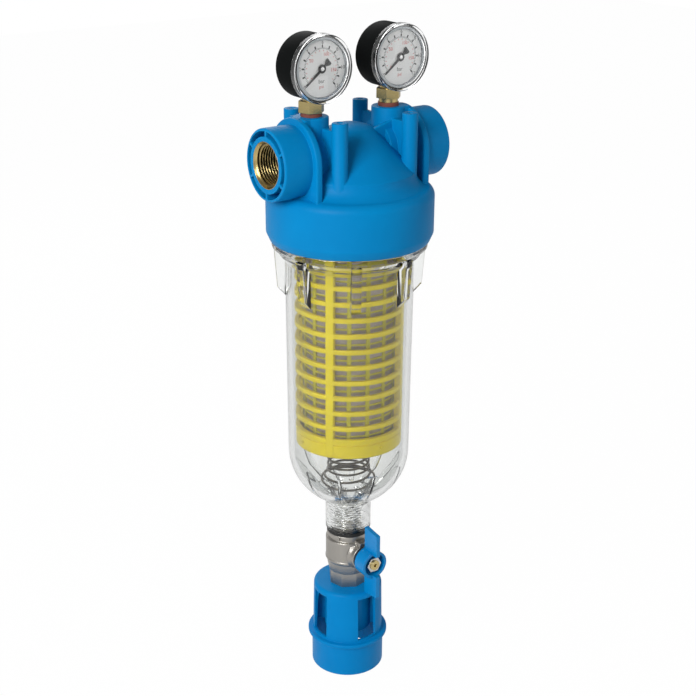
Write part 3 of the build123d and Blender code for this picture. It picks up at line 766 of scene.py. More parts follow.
insert = {
    "face": 61.5, "mouth": 14.4, "body": 15.6, "neck": 2.0, "length": 18.0,
    "majorRadius": 13.22, "depth": 1.5, "pitch": 1.814, "chamfer": 1.4,
}


# Rounded ridge that climbs one pitch a turn: 1 at the crest, 0 at the root.
def threadWave(height, angle, pitch):
    phase = height / pitch - angle / (2 * math.pi)
    saw = np.abs((phase % 1.0) * 2 - 1)
    return np.clip((saw - 0.18) / 0.7, 0, 1)


def makeInsert(side, body, nodeName):
    size = insert
    segments = 120
    angle = np.linspace(0, 2 * math.pi, segments, endpoint=False)
    mouthIn = size["majorRadius"] + 0.75
    outer = roundedOutline([
        (mouthIn, 0, 0), (size["mouth"], 0, 0.25), (size["mouth"], size["neck"], 0), (size["body"], size["neck"], 0),
        (size["body"], size["length"], 0.3), (size["majorRadius"] - 1.2, size["length"], 0),
    ], steps=3)
    depth = np.linspace(size["length"] - 0.05, size["chamfer"] + 0.1, 90)
    fade = np.clip((depth - size["chamfer"]) / 1.2, 0, 1) * np.clip((size["length"] - depth) / 1.2, 0, 1)
    ridge = threadWave(depth[:, None], angle[None, :] * side, size["pitch"]) * fade[:, None]
    radius = size["majorRadius"] - ridge * size["depth"]
    thread = np.stack([radius * np.cos(angle), radius * np.sin(angle), depth[:, None] + 0 * angle], -1)
    shell = turnedGrid(outer, segments)
    grid = np.concatenate([shell, thread])
    grid[..., 2] = side * (size["face"] - grid[..., 2])
    placed = alongX(grid) + np.array([0, 0, portHeight])
    piece = gridPiece(f"{nodeName}Thread", placed, closeRows=True, sharpAngle=50)
    spots = np.zeros(len(piece.data.vertices) * 3)
    piece.data.vertices.foreach_get("co", spots)
    spots = spots.reshape(-1, 3) / mm - np.array([0, 0, portHeight])
    # The crest attribute masks the painted shade in the thread roots: 0 at the root, 1 at the crest and outside the
    # threaded length.
    reach = size["majorRadius"] - np.hypot(spots[:, 1], spots[:, 2])
    inside = size["face"] - spots[:, 0] * side > size["chamfer"] + 0.6
    crest = np.where(inside, np.clip(reach / size["depth"] * 1.15 - 0.1, 0, 1), 1.0)
    piece.data.attributes.new("crest", "FLOAT", "POINT").data.foreach_set("value", crest)
    return finishPiece(piece, body, threadBrass, "brass", nodeName)


makeHead()
print("head built")
makeInsert(-1, "head", "inlet_insert")
makeInsert(1, "head", "outlet_insert")
print("port inserts built")


# Clear bowl

bowl = {
    "neck": 46.6, "neckTop": -27.5, "collar": 49.6, "collarTop": -54.9, "collarHeight": 3.7, "shoulder": 45.2,
    "top": 41.3, "low": 40.3, "wall": 3.6, "domeCentre": -200.8, "nipple": 15.5, "nippleBottom": -261.0,
    "bore": 10.48, "threadDepth": 1.0, "lugs": 8, "lugTurn": 15.0, "lugWidth": 6.4, "lugTop": 48.3, "lugFoot": 46.4,
    "fins": 10, "finWidth": 3.4, "finTaper": 0.075, "seat": -227.0,
}


# Flat radial plates, bevelled, set round the axis.
def plateRing(name, outline, width, count, firstTurn, rounding, taper=0.0):
    pieces = []
    for number in range(count):
        plate = blockPiece(name, outline, (-width / 2, width / 2), rounding, taper)
        turn = Matrix.Rotation(math.radians(firstTurn + number * 360 / count), 4, "Z")
        plate.data.transform(turn)
        pieces.append(plate)
    return joinPieces(name, pieces)


def makeBowl():
    size = bowl
    base = portHeight
    joinDrop = math.sqrt(size["low"] ** 2 - size["nipple"] ** 2)
    arc = np.radians(np.linspace(3, math.degrees(math.asin(joinDrop / size["low"])) - 2, 24))
    dome = np.stack([size["low"] * np.cos(arc), base + size["domeCentre"] - size["low"] * np.sin(arc)], -1)
    outer = roundedOutline([
        (size["neck"] - 5.1, base + size["neckTop"], 0), (size["neck"], base + size["neckTop"], 0.8),
        (size["neck"], base + size["collarTop"], 0.4),
        (size["collar"], base + size["collarTop"], 0.7),
        (size["collar"], base + size["collarTop"] - size["collarHeight"], 1.0),
        (size["shoulder"], base + size["collarTop"] - 5.5, 0.8),
        (size["shoulder"], base - 63.5, 1.2), (size["top"], base - 68.0, 3.0),
        (size["low"], base + size["domeCentre"], 0),
    ], steps=4)
    nipple = roundedOutline([
        (size["nipple"] + 0.9, base + size["domeCentre"] - joinDrop + 0.2, 0),
        (size["nipple"], base + size["domeCentre"] - joinDrop - 0.8, 0.5),
        (size["nipple"], base + size["nippleBottom"], 0.5),
        (size["bore"], base + size["nippleBottom"], 0),
    ], steps=3)
    innerRadius = size["low"] - size["wall"]
    innerArc = np.radians(np.linspace(70, 3, 22))
    innerDome = np.stack([
        innerRadius * np.cos(innerArc), base + size["domeCentre"] - innerRadius * np.sin(innerArc),
    ], -1)
    innerTop = size["top"] - size["wall"]
    inner = roundedOutline([
        (innerRadius, base + size["domeCentre"], 0), (innerTop, base - 67.0, 4.0),
        (innerTop + 3.8, base - 60.0, 3.0), (innerTop + 3.8, base + size["neckTop"], 0),
    ], steps=4)
    threadLevels = np.linspace(base + size["nippleBottom"] + 0.5, base - 239.5, 120)
    thread = np.stack([size["bore"] + 0 * threadLevels, threadLevels], -1)
    throat = roundedOutline([
        (size["bore"], base - 239.0, 0), (size["bore"], base - 236.5, 0.8),
        (innerRadius * math.cos(math.radians(71)), base + size["domeCentre"] - innerRadius * math.sin(math.radians(71)), 0),
    ], steps=3)
    outline = np.concatenate([outer, dome, nipple, thread, throat, innerDome, inner])
    grid = turnedGrid(outline, 160)
    first = len(outer) + len(dome) + len(nipple)
    rows = slice(first, first + len(thread))
    turn = np.linspace(0, 2 * math.pi, 160, endpoint=False)[None, :]
    fade = np.clip((threadLevels - threadLevels[0]) / 1.5, 0, 1) * np.clip((threadLevels[-1] - threadLevels) / 1.5, 0, 1)
    depth = size["threadDepth"] * threadWave(threadLevels[:, None], turn, insert["pitch"]) * fade[:, None]
    grid[rows, :, :2] *= (1 + depth / size["bore"])[..., None]
    shell = gridPiece("bowlShell", grid, closeRows=True)
    lugs = plateRing("bowlLugs", [
        (40.0, base - 60.0), (size["lugTop"], base - 60.0), (size["lugFoot"], base - 86.0), (40.0, base - 93.0),
    ], size["lugWidth"], size["lugs"], -90 + size["lugTurn"], 0.7)
    uniteWith(shell, lugs)
    fins = plateRing("bowlFins", [
        (11.5, base + size["seat"]), (21.5, base + size["seat"]), (34.0, base - 208.5), (37.5, base - 206.5),
        (36.8, base - 215.0), (25.5, base - 230.6), (11.5, base - 237.3),
    ], size["finWidth"], size["fins"], 9.0, 0.2, size["finTaper"])
    uniteWith(shell, fins)
    shell.name = "clearBowl"
    return finishPiece(shell, "bowl", clearBowl, "clear_bowl", "bowl")


makeBowl()
print("bowl built")


# Cartridge cage, gauze and spring

cage = {
    "radius": 35.3, "inner": 32.4, "bottom": -193.7, "bandTop": -180.0, "top": -42.0, "topBand": 16.0,
    "ringPitch": 10.58, "firstRing": -172.4, "rings": 11, "ringHeight": 3.2, "ribTurn": 34.65, "ribWidth": 5.2,
    "floor": 2.5, "spigot": 11.5, "spigotDrop": 3.0, "peg": 1.1, "pegHeight": 6.0,
}


def ringPiece(name, corners, segments=128, steps=3):
    outline = roundedOutline(corners, closed=True, steps=steps)
    return gridPiece(name, turnedGrid(outline, segments), closeRows=True)


def makeCage():
    size = cage
    base = portHeight
    pieces = []
    for number in range(size["rings"]):
        middle = base + size["firstRing"] + number * size["ringPitch"]
        half = size["ringHeight"] / 2
        pieces.append(ringPiece("cageRing", [
            (size["inner"], middle - half * 0.8, 0.3), (size["radius"], middle - half, 0.45),
            (size["radius"], middle + half, 0.45), (size["inner"], middle + half * 0.8, 0.3),
        ]))
    low, band = base + size["bottom"], base + size["bandTop"]
    pieces.append(gridPiece("cageFoot", turnedGrid(roundedOutline([
        (0, low - size["spigotDrop"], 0), (size["spigot"], low - size["spigotDrop"], 0.6),
        (size["spigot"], low, 0.4), (size["radius"] - 0.9, low, 0.6), (size["radius"] - 0.2, low + 1.2, 0.4),
        (size["radius"] - 0.2, band - 4.6, 0.1), (size["radius"] - 0.9, band - 4.4, 0.1),
        (size["radius"] - 0.9, band - 3.8, 0.1), (size["radius"], band - 3.6, 0.1),
        (size["radius"], band, 0.5), (size["inner"], band, 0.3), (size["inner"], low + size["floor"], 0.5),
        (0, low + size["floor"], 0),
    ], steps=3), 160)))
    pieces.append(ringPiece("cageHead", [
        (size["inner"], base + size["top"] - size["topBand"], 0.4),
        (size["radius"], base + size["top"] - size["topBand"], 0.5),
        (size["radius"], base + size["top"], 0.3), (size["inner"], base + size["top"], 0.3),
    ]))
    ribs = plateRing("cageRibs", [
        (size["inner"] - 1.0, low + 2.0), (size["radius"] + 0.0, low + 2.0),
        (size["radius"] + 0.0, base + size["top"] - 2.0), (size["inner"] - 1.0, base + size["top"] - 2.0),
    ], size["ribWidth"], 4, -90 + size["ribTurn"], 0.4)
    pieces.append(ribs)
    for turn in range(0, 360, 90):
        peg = gridPiece("cagePeg", alongX(turnedGrid(roundedOutline([
            (0, size["radius"] - 1.5, 0), (size["peg"], size["radius"] - 1.5, 0), (size["peg"], size["radius"] + 0.8, 0.3),
            (0, size["radius"] + 0.8, 0),
        ], steps=3), 24)) + np.array([0, 0, low + size["pegHeight"]]))
        peg.data.transform(Matrix.Rotation(math.radians(turn), 4, "Z"))
        pieces.append(peg)
    return finishPiece(joinPieces("cartridgeCage", pieces), "cartridge", yellowPlastic, "yellow_plastic", "cartridge_cage")


gauzeSize = {"radius": 30.4, "thick": 0.25, "pleat": 0.18}


# A cylinder of gauze that bows out a little between the core's strips.
def makeGauze():
    size = gauzeSize
    base = portHeight
    columns, rows = 360, 60
    angle = np.linspace(0, 2 * math.pi, columns, endpoint=False)
    height = np.linspace(base + cage["bottom"] + cage["floor"], base + cage["top"], rows)
    wave = size["pleat"] * np.cos(angle * 18)[None, :] + 0.08 * np.sin(height[:, None] * 0.9 + angle[None, :] * 5)
    outer = size["radius"] - 0.3 + wave
    inner = outer - size["thick"]
    grids = []
    for radius, level in ((outer, height), (inner[::-1], height[::-1])):
        grids.append(np.stack([
            radius * np.cos(angle), radius * np.sin(angle), level[:, None] + 0 * angle,
        ], -1))
    piece = gridPiece("filterGauze", np.concatenate(grids), closeRows=True, sharpAngle=60)
    mesh = piece.data
    corner = np.zeros(len(mesh.loops), np.int32)
    mesh.loops.foreach_get("vertex_index", corner)
    place = np.zeros(len(mesh.vertices) * 3)
    mesh.vertices.foreach_get("co", place)
    place = place.reshape(-1, 3)[corner] / mm
    around = np.arctan2(place[:, 1], place[:, 0]).reshape(-1, 4)
    around = np.where(around - around[:, :1] > math.pi, around - 2 * math.pi, around)
    around = np.where(around - around[:, :1] < -math.pi, around + 2 * math.pi, around)
    layer = mesh.uv_layers.new(name="wrap")
    layer.data.foreach_set("uv", np.stack([around.ravel() * size["radius"], place[:, 2]], -1).ravel())
    return finishPiece(piece, "cartridge", gauze, "steel_mesh", "filter_mesh")


core = {
    "radius": 28.6, "inner": 26.6, "strips": 16, "stripTurn": -102.87, "stripWidth": 2.7, "bar": 1.3, "barPitch": 5.29, "bars": 26,
    "firstBar": -184.85, "band": 6.0, "cover": 2.05,
}


# Support moulded through the gauze: upright strips, cross bars at half the ring pitch, two end bands.
def makeCore():
    size = core
    low = portHeight + cage["bottom"] + cage["floor"]
    high = portHeight + cage["top"]
    pieces = []
    for start, end in ((low, low + size["band"]), (high - size["band"], high)):
        pieces.append(ringPiece("coreBand", [
            (size["inner"], start, 0.2), (size["radius"], start, 0.3), (size["radius"], end, 0.3), (size["inner"], end, 0.2),
        ]))
    for number in range(size["bars"]):
        middle = portHeight + size["firstBar"] + number * size["barPitch"]
        half = size["bar"] / 2
        pieces.append(ringPiece("coreBar", [
            (size["inner"] + 0.6, middle - half, 0.2), (size["radius"] + size["cover"] - 0.15, middle - half, 0.3),
            (size["radius"] + size["cover"] - 0.15, middle + half, 0.3), (size["inner"] + 0.6, middle + half, 0.2),
        ], 96, 2))
    pieces.append(plateRing("coreStrips", [
        (size["inner"], low + 1.0), (size["radius"] + size["cover"], low + 1.0),
        (size["radius"] + size["cover"], high - 1.0), (size["inner"], high - 1.0),
    ], size["stripWidth"], size["strips"], size["stripTurn"], 0.3))
    return finishPiece(joinPieces("cartridgeCore", pieces), "cartridge", shadedCorePlastic, "core_plastic", "cartridge_core")


spring = {
    "wire": 0.78, "low": -227.0, "high": -193.7, "coils": (0.0, 0.9, 1.5, 2.2, 3.2, 4.2, 5.2, 6.2, 7.2, 8.0),
    "levels": (0.8, 2.0, 5.0, 8.6, 13.0, 17.4, 21.8, 26.2, 30.4, 32.4),
    "radii": (18.6, 18.3, 16.0, 14.2, 13.8, 13.7, 13.6, 13.5, 13.5, 13.5),
}


# Conical helix through the measured coils: height and radius follow the turn count smoothly.
def makeSpring():
    size = spring
    turns = np.linspace(0, size["coils"][-1], 760)
    window = np.hanning(75) / np.hanning(75).sum()
    eased = []
    for track in (size["levels"], size["radii"]):
        plain = np.interp(turns, size["coils"], track)
        padded = np.pad(plain, 37, mode="edge")
        eased.append(np.convolve(padded, window, mode="valid"))
    rise, radius = eased
    rise = 0.8 + (rise - rise.min()) / (rise.max() - rise.min()) * (size["high"] - size["low"] - 1.6)
    angle = turns * 2 * math.pi
    path = np.stack([radius * np.cos(angle), radius * np.sin(angle), portHeight + size["low"] + rise], -1)
    piece = gridPiece("cartridgeSpring", capped(tubeGrid(path, size["wire"], 14)), sharpAngle=60)
    finishPiece(piece, "bowl", springSteel, "spring_steel", "cartridge_spring")
    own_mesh(piece)
    return piece


makeCage()
makeCore()
makeGauze()
makeSpring()
print("cartridge built")


# Drain valve body

valve = {
    "top": -251.5, "stem": -278.5, "collarTop": -263.8, "collar": 14.6, "collarLow": -269.0, "body": 15.3,
    "ridge": -284.6, "bottom": -294.0, "foot": 13.2, "thread": 10.43, "pitch": 1.814,
    "threadDepth": 1.1, "boss": 9.2, "bossReach": -19.0, "bore": 7.0, "chamber": 11.8,
    "notchTurn": -147.0, "notchWidth": 1.4, "stopHalf": 3.6, "stopLow": 8.2, "stopHigh": 11.5,
}


def makeValveBody():
    size = valve
    base = portHeight
    segments = 128
    angle = np.linspace(0, 2 * math.pi, segments, endpoint=False)
    height = np.linspace(base + size["top"] - 0.6, base + size["collarTop"] + 1.4, 70)
    fade = np.clip((base + size["top"] - height) / 1.6, 0, 1) * np.clip((height - base - size["collarTop"] - 1.2) / 1.2, 0, 1)
    ridge = threadWave(height[:, None], angle[None, :], size["pitch"])
    radius = size["thread"] - size["threadDepth"] * (1 - ridge * fade[:, None])
    thread = np.stack([radius * np.cos(angle), radius * np.sin(angle), height[:, None] + 0 * angle], -1)
    crown = turnedGrid(roundedOutline([
        (size["bore"], base + size["stem"] + 12.0, 0), (size["bore"], base + size["top"], 0.4),
        (size["thread"] - size["threadDepth"] - 0.2, base + size["top"], 0),
    ], steps=3), segments)
    body = turnedGrid(roundedOutline([
        (size["thread"] - 1.3, base + size["collarTop"] + 1.2, 0), (size["thread"] - 1.3, base + size["collarTop"], 0),
        (size["collar"], base + size["collarTop"], 0.6), (size["collar"], base + size["collarTop"] - 2.6, 0.2),
        (size["collar"] - 0.8, base + size["collarTop"] - 2.9, 0.2),
        (size["collar"] - 0.8, base + size["collarLow"] + 0.9, 0.5),
        (size["body"], base + size["collarLow"], 0.9), (size["body"], base + size["ridge"] + 1.0, 0.3),
        (size["body"] + 0.3, base + size["ridge"] + 0.5, 0.3), (size["body"] + 0.3, base + size["ridge"] - 0.4, 0.5),
        (14.7, base + size["ridge"] - 1.9, 0.8), (size["foot"], base + size["bottom"], 0.3),
        (size["chamber"], base + size["bottom"], 0), (size["chamber"], base + size["stem"] + 12.0, 0),
    ], steps=4), segments)
    shell = gridPiece("valveShell", np.concatenate([crown, thread, body]), closeRows=True)
    boss = gridPiece("valveBoss", alongY(turnedGrid(roundedOutline([
        (0, -size["chamber"] - 1.5, 0), (size["boss"] + 1.2, -size["chamber"] - 1.5, 0), (size["boss"], -15.8, 1.5),
        (size["boss"], size["bossReach"], 0.7), (6.0, size["bossReach"], 0.4), (6.0, -14.5, 0), (0, -14.5, 0),
    ], steps=4), 96)) + np.array([0, 0, base + size["stem"]]))
    uniteWith(shell, boss)
    stem = base + size["stem"]
    stop = blockPiece("valveStop", [
        (-size["stopHalf"], stem + size["stopLow"]), (size["stopHalf"], stem + size["stopLow"]),
        (size["stopHalf"], stem + size["stopHigh"]), (-size["stopHalf"], stem + size["stopHigh"]),
    ], (-19.3, -12.5), 0.4)
    uniteWith(shell, stop)
    notches = []
    for number in range(4):
        notch = blockPiece("valveNotch", [
            (13.0, base + size["collarTop"] - 4.4), (16.5, base + size["collarTop"] - 4.4),
            (16.5, base + size["collarTop"] - 1.0), (13.0, base + size["collarTop"] - 1.0),
        ], (-size["notchWidth"] / 2, size["notchWidth"] / 2))
        notch.data.transform(Matrix.Rotation(math.radians(size["notchTurn"] + 90 * number), 4, "Z"))
        notches.append(notch)
    combine(shell, notches, "DIFFERENCE")
    return finishPiece(shell, "bowl", nickel, "nickel", "valve_body")


makeValveBody()
print("valve built")


# Drain adapter

adapter = {
    "top": 64.3, "radius": 23.65, "low": 24.3, "wall": 2.5, "roof": 3.6, "half": 7.2, "rimTop": 26.1, "rim": 27.7,
    "pipeTop": 23.3, "pipe": 25.0, "nozzle": 16.1, "nozzleWall": 1.8, "nozzleLow": 29.0, "vane": 1.6, "thread": 10.43,
    "threadTop": 8.5, "bore": 7.0, "windowLow": 27.7, "windowHigh": 59.9,
}


def makeAdapter():
    size = adapter
    roof = size["top"] - size["roof"]
    inner = size["pipe"] - size["wall"]
    outline = roundedOutline([
        (size["bore"], size["top"] + size["threadTop"], 0), (size["thread"], size["top"] + size["threadTop"], 0.6),
        (size["thread"], size["top"], 0), (size["radius"], size["top"], 2.6), (size["low"], size["rimTop"], 0.5),
        (size["rim"], size["rimTop"], 0.8), (size["rim"], size["pipeTop"], 0.6), (size["pipe"], size["pipeTop"], 0.5),
        (size["pipe"], 0, 0.6), (inner, 0, 0.3), (inner, size["pipeTop"] + 2, 1.0), (size["radius"] - size["wall"], roof, 0),
        (size["nozzle"], roof, 0.8), (size["nozzle"], size["nozzleLow"], 0.5),
        (size["nozzle"] - size["nozzleWall"], size["nozzleLow"], 0.3), (size["nozzle"] - size["nozzleWall"], roof, 0),
        (size["bore"], roof, 0),
    ], closed=True, steps=4)
    shell = gridPiece("adapterShell", turnedGrid(outline, 160), closeRows=True)
    windows = plateRing("adapterWindows", [
        (20.4, size["windowLow"]), (40.0, size["windowLow"]), (40.0, size["windowHigh"]), (20.4, size["windowHigh"]),
    ], 2 * size["half"], 4, 0.0, 0.0)
    uniteWith(shell, windows, "DIFFERENCE")
    vanes = plateRing("adapterVanes", [
        (size["nozzle"] - 1.0, size["nozzleLow"] + 1.0), (size["radius"] - 1.2, size["nozzleLow"] + 1.0),
        (size["radius"] - 1.2, roof + 1.0), (size["nozzle"] - 1.0, roof + 1.0),
    ], size["vane"], 4, 45.0, 0.0)
    uniteWith(shell, vanes)
    shell.name = "drainAdapter"
    return finishPiece(shell, "bowl", blueAdapter, "adapter_blue", "drain_adapter")


makeAdapter()
print("drain adapter built")


# Gauges: case, window, printed dial and pointer

gauge = {
    "x": 28.8, "height": {-1: 55.6, 1: 57.2}, "case": 19.6, "bezel": 20.6, "front": -14.0, "back": 9.4,
    "dialFace": -10.6, "dialBack": -9.8, "dial": 17.05, "spacer": 18.4, "opening": 16.9, "pane": -13.2, "lip": 19.05, "lipBack": -9.4, "windowBack": -12.4,
    "inner": 17.2, "print": 0.04, "ring": 12.4, "fineRing": 11.5, "figures": 15.5, "redFigures": 8.9,
    "start": -130.0, "sweep": 266.0,
}


def gaugePlace(side):
    return np.array([side * gauge["x"], 0, portHeight + gauge["height"][side]])


def makeCase(side, sideName):
    size = gauge
    grid = turnedGrid(roundedOutline([
        (0, size["back"], 0), (size["case"], size["back"], 1.9), (size["case"], size["lipBack"], 0.2),
        (19.0, size["lipBack"], 0), (19.0, size["windowBack"], 0.15), (18.55, size["windowBack"], 0.15),
        (18.55, size["dialBack"] + 0.1, 0), (size["inner"], size["dialBack"] + 0.1, 0),
        (size["inner"], size["back"] - 1.6, 0.5), (0, size["back"] - 1.6, 0),
    ], steps=5), 160)
    piece = gridPiece(f"{sideName}GaugeCase", alongY(grid) + gaugePlace(side))
    return finishPiece(piece, "head", blackCase, "case_black", f"{sideName}_gauge_case")


def makeDial(side, sideName):
    size = gauge
    grid = turnedGrid(roundedOutline([
        (1.4, size["dialFace"], 0), (size["dial"], size["dialFace"], 0.15), (size["dial"], size["dialBack"], 0.15),
        (1.4, size["dialBack"], 0),
    ], closed=True, steps=2), 128)
    piece = gridPiece(f"{sideName}Dial", alongY(grid) + gaugePlace(side), closeRows=True)
    return finishPiece(piece, "head", whitePlastic, "dial_white", f"{sideName}_gauge_dial")


# Pale ring that holds the dial, seen through the window's thick rim.
def makeSpacer(side, sideName):
    size = gauge
    grid = turnedGrid(roundedOutline([
        (size["dial"] + 0.1, size["windowBack"] + 0.15, 0.3), (size["spacer"], size["windowBack"] + 0.15, 0.1),
        (size["spacer"], size["dialBack"], 0.1), (size["dial"] + 0.1, size["dialBack"], 0.1),
    ], closed=True, steps=3), 128)
    piece = gridPiece(f"{sideName}DialSpacer", alongY(grid) + gaugePlace(side), closeRows=True)
    return finishPiece(piece, "head", greyPlastic, "dial_white")


def makeWindow(side, sideName):
    size = gauge
    grid = turnedGrid(roundedOutline([
        (0, size["pane"], 0), (size["opening"], size["pane"], 0.3), (size["opening"] + 0.3, size["front"], 0.4),
        (size["bezel"], size["front"], 1.2), (size["bezel"], size["lipBack"], 0.3),
        (size["lip"], size["lipBack"], 0.1), (size["lip"], size["windowBack"], 0.3), (0, size["windowBack"], 0),
    ], steps=5), 160)
    piece = gridPiece(f"{sideName}GaugeWindow", alongY(grid) + gaugePlace(side))
    return finishPiece(piece, "head", clearWindow, "clear_window", f"{sideName}_gauge_window")


# Text as a filled flat mesh in XZ, centred on the origin, height in millimetres.
def textMesh(text, height):
    curve = bpy.data.curves.new("figure", "FONT")
    curve.body = text
    curve.size = height * mm * 1.38
    curve.align_x = "CENTER"
    curve.align_y = "CENTER"
    curve.resolution_u = 2
    holder = bpy.data.objects.new("figure", curve)
    bpy.context.scene.collection.objects.link(holder)
    bpy.context.view_layer.update()
    mesh = bpy.data.meshes.new_from_object(holder)
    bpy.data.objects.remove(holder)
    mesh.transform(Matrix.Rotation(math.radians(90), 4, "X"))
    return mesh


# Flat print: ticks as thin quads (angle, inner, outer, width) and figures as text.
def printPiece(name, marks, figures, place, material, slotName, body):
    face = gauge["dialFace"] - gauge["print"]
    points, faces = [], []
    for angle, inner, outer, width in marks:
        turn = math.radians(angle)
        along = np.array([math.sin(turn), 0, math.cos(turn)])
        side = np.array([math.cos(turn), 0, -math.sin(turn)])
        first = len(points)
        for reach, offset in ((inner, -1), (outer, -1), (outer, 1), (inner, 1)):
            points.append(along * reach + side * offset * width / 2 + np.array([0, face, 0]))
        faces.append([first + 3, first + 2, first + 1, first])
    pieces = []
    if points:
        mesh = bpy.data.meshes.new(name)
        mesh.from_pydata(((np.array(points) + place) * mm).tolist(), [], faces)
        ticks = bpy.data.objects.new(name, mesh)
        bpy.context.scene.collection.objects.link(ticks)
        pieces.append(ticks)
    for text, x, z, height in figures:
        mesh = textMesh(text, height)
        mesh.transform(Matrix.Translation(Vector((np.array([x, face, z]) + place) * mm)))
        figure = bpy.data.objects.new(name, mesh)
        bpy.context.scene.collection.objects.link(figure)
        pieces.append(figure)
    return finishPiece(joinPieces(name, pieces), body, material, slotName)


def dialAngle(share):
    return gauge["start"] + gauge["sweep"] * share


def figureAt(text, share, radius, height):
    turn = math.radians(dialAngle(share))
    return (text, radius * math.sin(turn), radius * math.cos(turn), height)


def makeDialPrint(side, sideName):
    size = gauge
    place = gaugePlace(side)
    ring, fine = size["ring"], size["fineRing"]
    marks = [(dialAngle(step / 12), ring, ring + 1.7, 0.9) for step in range(13)]
    marks += [(dialAngle(step / 60), fine, fine + 1.0, 0.3) for step in range(61)]
    figures = [figureAt(str(2 * step), step / 6, size["figures"], 2.3) for step in range(7)]
    figures.append(("bar", 0.0, -7.4, 2.4))
    printPiece(f"{sideName}DialBlack", marks, figures, place, inkBlack, "pointer_black", "head")
    fullScale = 174.0
    redMarks = [(dialAngle(value / fullScale), fine - 1.2, fine - 0.4, 0.34) for value in range(0, 175, 10)]
    redFigures = [figureAt(str(value), value / fullScale, size["redFigures"], 2.1) for value in (0, 50, 100, 150)]
    redFigures.append(("psi", 0.0, -10.6, 2.1))
    printPiece(f"{sideName}DialRed", redMarks, redFigures, place, inkRed, "pointer_black", "head")


pointer = {
    "back": -11.3, "front": -11.7, "hub": 2.6, "hubBack": -11.1, "hubFront": -11.9, "rivet": 1.25, "rivetFront": -12.1,
    "outline": (
        (-0.95, 0), (-0.35, 15.0), (0.35, 15.0), (0.95, 0), (0.8, -3.0), (2.3, -5.4), (2.1, -6.8), (-2.1, -6.8),
        (-2.3, -5.4), (-0.8, -3.0),
    ),
}


# Pointer with its spade tail, hub and light rivet, turned to where it rests at zero.
def makePointer(side, sideName):
    size = pointer
    turn = Matrix.Rotation(math.radians(gauge["start"]), 4, "Y")
    place = Matrix.Translation(Vector(gaugePlace(side) * mm))
    blade = blockPiece("blade", size["outline"], (size["front"], size["back"]), 0.08)
    hub = gridPiece("hub", alongY(turnedGrid(roundedOutline([
        (0, size["hubBack"], 0), (size["hub"], size["hubBack"], 0), (size["hub"], size["hubFront"], 0.25),
        (0, size["hubFront"], 0),
    ], steps=3), 48)))
    uniteWith(blade, hub)
    blade.data.transform(place @ turn)
    blade.name = f"{sideName}Pointer"
    body = f"{sideName}_pointer"
    finishPiece(blade, body, inkBlack, "pointer_black", f"{sideName}_gauge_pointer")
    rivet = gridPiece(f"{sideName}Rivet", alongY(turnedGrid(roundedOutline([
        (0, size["hubFront"] + 0.03, 0), (size["rivet"], size["hubFront"] + 0.03, 0),
        (size["rivet"], size["rivetFront"], 0.12), (0, size["rivetFront"], 0),
    ], steps=3), 40)))
    rivet.data.transform(place @ turn)
    return finishPiece(rivet, body, steel, "pointer_black")


for side, sideName in ((-1, "inlet"), (1, "outlet")):
    makeCase(side, sideName)
    makeDial(side, sideName)
    makeSpacer(side, sideName)
    makeWindow(side, sideName)
    makeDialPrint(side, sideName)
    makePointer(side, sideName)
print("gauges built")


# Camera, floor and light

camera = {
    "azimuth": -35.37, "distance": 0.811, "height": 0.194, "pitch": 21.8, "roll": 0.32, "yaw": -0.05, "lens": 69.04,
}


# A camera that circles the port axis at the photograph's height, pitched down.
def makeCamera():
    turn = math.radians(camera["azimuth"])
    place = Vector((
        math.sin(turn) * camera["distance"], -math.cos(turn) * camera["distance"],
        portHeight * mm + camera["height"],
    ))
    data = bpy.data.cameras.new("photoCamera")
    data.lens = camera["lens"]
    data.sensor_width = 36.0
    data.clip_start = 0.01
    holder = bpy.data.objects.new("photoCamera", data)
    bpy.context.scene.collection.objects.link(holder)
    facing = Matrix.Rotation(turn + math.radians(-camera["yaw"]), 4, "Z")
    tilt = Matrix.Rotation(math.radians(90 - camera["pitch"]), 4, "X")
    roll = Matrix.Rotation(math.radians(camera["roll"]), 4, "Z")
    holder.matrix_world = Matrix.Translation(place) @ facing @ tilt @ roll
    bpy.context.scene.camera = holder


def makeFloor():
    size = 3.0
    mesh = bpy.data.meshes.new("floor")
    mesh.from_pydata([(-size, -size, 0), (size, -size, 0), (size, size, 0), (-size, size, 0)], [], [(0, 1, 2, 3)])
    floor = bpy.data.objects.new("floor", mesh)
    bpy.context.scene.collection.objects.link(floor)
    material, nodes, links, shader = newMaterial("paleFloor")
    shader.inputs["Base Color"].default_value = (0.86, 0.86, 0.86, 1)
    shader.inputs["Roughness"].default_value = 0.9
    glow = nodes.new("ShaderNodeEmission")
    glow.inputs[0].default_value = (1, 1, 1, 1)
    seen = nodes.new("ShaderNodeLightPath")
    mirrored = mathNode(nodes, links, "MULTIPLY", seen.outputs["Is Glossy Ray"], 0.3)
    sight = mathNode(nodes, links, "MAXIMUM", seen.outputs["Is Camera Ray"], seen.outputs["Is Transmission Ray"])
    sightShare = mathNode(nodes, links, "MULTIPLY", sight, 0.985)
    share = mathNode(nodes, links, "MAXIMUM", sightShare, mirrored)
    mix = nodes.new("ShaderNodeMixShader")
    links.new(share, mix.inputs[0])
    links.new(shader.outputs[0], mix.inputs[1])
    links.new(glow.outputs[0], mix.inputs[2])
    links.new(mix.outputs[0], nodes["Material Output"].inputs[0])
    mesh.materials.append(material)
    floor.location.z = -0.018


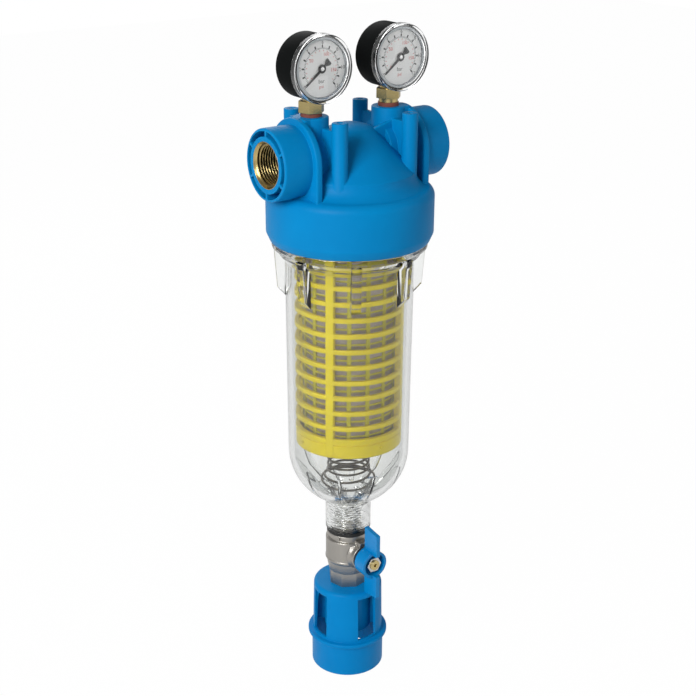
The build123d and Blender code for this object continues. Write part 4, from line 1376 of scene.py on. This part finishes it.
lights = {
    "key": {"place": (-1.25, -0.55, 1.0), "size": 0.7, "power": 22.0},
    "fill": {"place": (1.1, -1.0, 0.6), "size": 0.9, "power": 2.6},
    "rim": {"place": (0.3, 1.2, 0.9), "size": 0.9, "power": 6.0},
}
worldLight = {"surround": 0.31, "shown": 1.0, "horizon": 0.55, "zenith": 0.2, "fall": 0.8}


# A white studio: dimmer overhead in reflections, and dimmer still as plain light.
def makeLights():
    target = Vector((0, 0, portHeight * mm * 0.7))
    for name, look in lights.items():
        data = bpy.data.lights.new(name, "AREA")
        data.energy = look["power"]
        data.size = look["size"]
        holder = bpy.data.objects.new(name, data)
        bpy.context.scene.collection.objects.link(holder)
        holder.location = look["place"]
        holder.rotation_euler = (target - holder.location).to_track_quat("-Z", "Y").to_euler()
    look = worldLight
    world = bpy.data.worlds.new("studio")
    world.use_nodes = True
    nodes, links = world.node_tree.nodes, world.node_tree.links
    seen = nodes.new("ShaderNodeLightPath")
    place = nodes.new("ShaderNodeNewGeometry")
    split = nodes.new("ShaderNodeSeparateXYZ")
    links.new(place.outputs["Incoming"], split.inputs[0])
    fading = mathNode(nodes, links, "MULTIPLY_ADD", split.outputs[2], look["fall"], look["horizon"])
    floored = mathNode(nodes, links, "MAXIMUM", fading, look["zenith"])
    limited = mathNode(nodes, links, "MINIMUM", floored, look["horizon"])
    extra = mathNode(nodes, links, "SUBTRACT", limited, look["surround"])
    mirrored = mathNode(nodes, links, "MULTIPLY_ADD", seen.outputs["Is Glossy Ray"], extra, look["surround"])
    sight = mathNode(nodes, links, "MAXIMUM", seen.outputs["Is Camera Ray"], seen.outputs["Is Transmission Ray"])
    missing = mathNode(nodes, links, "SUBTRACT", look["shown"], mirrored)
    strength = mathNode(nodes, links, "MULTIPLY_ADD", sight, missing, mirrored)
    links.new(strength, nodes["Background"].inputs["Strength"])
    nodes["Background"].inputs["Color"].default_value = (1, 1, 1, 1)
    bpy.context.scene.world = world


makeCamera()
makeFloor()
makeLights()
bpy.context.scene.view_settings.view_transform = "Standard"
print("camera, floor and light set")
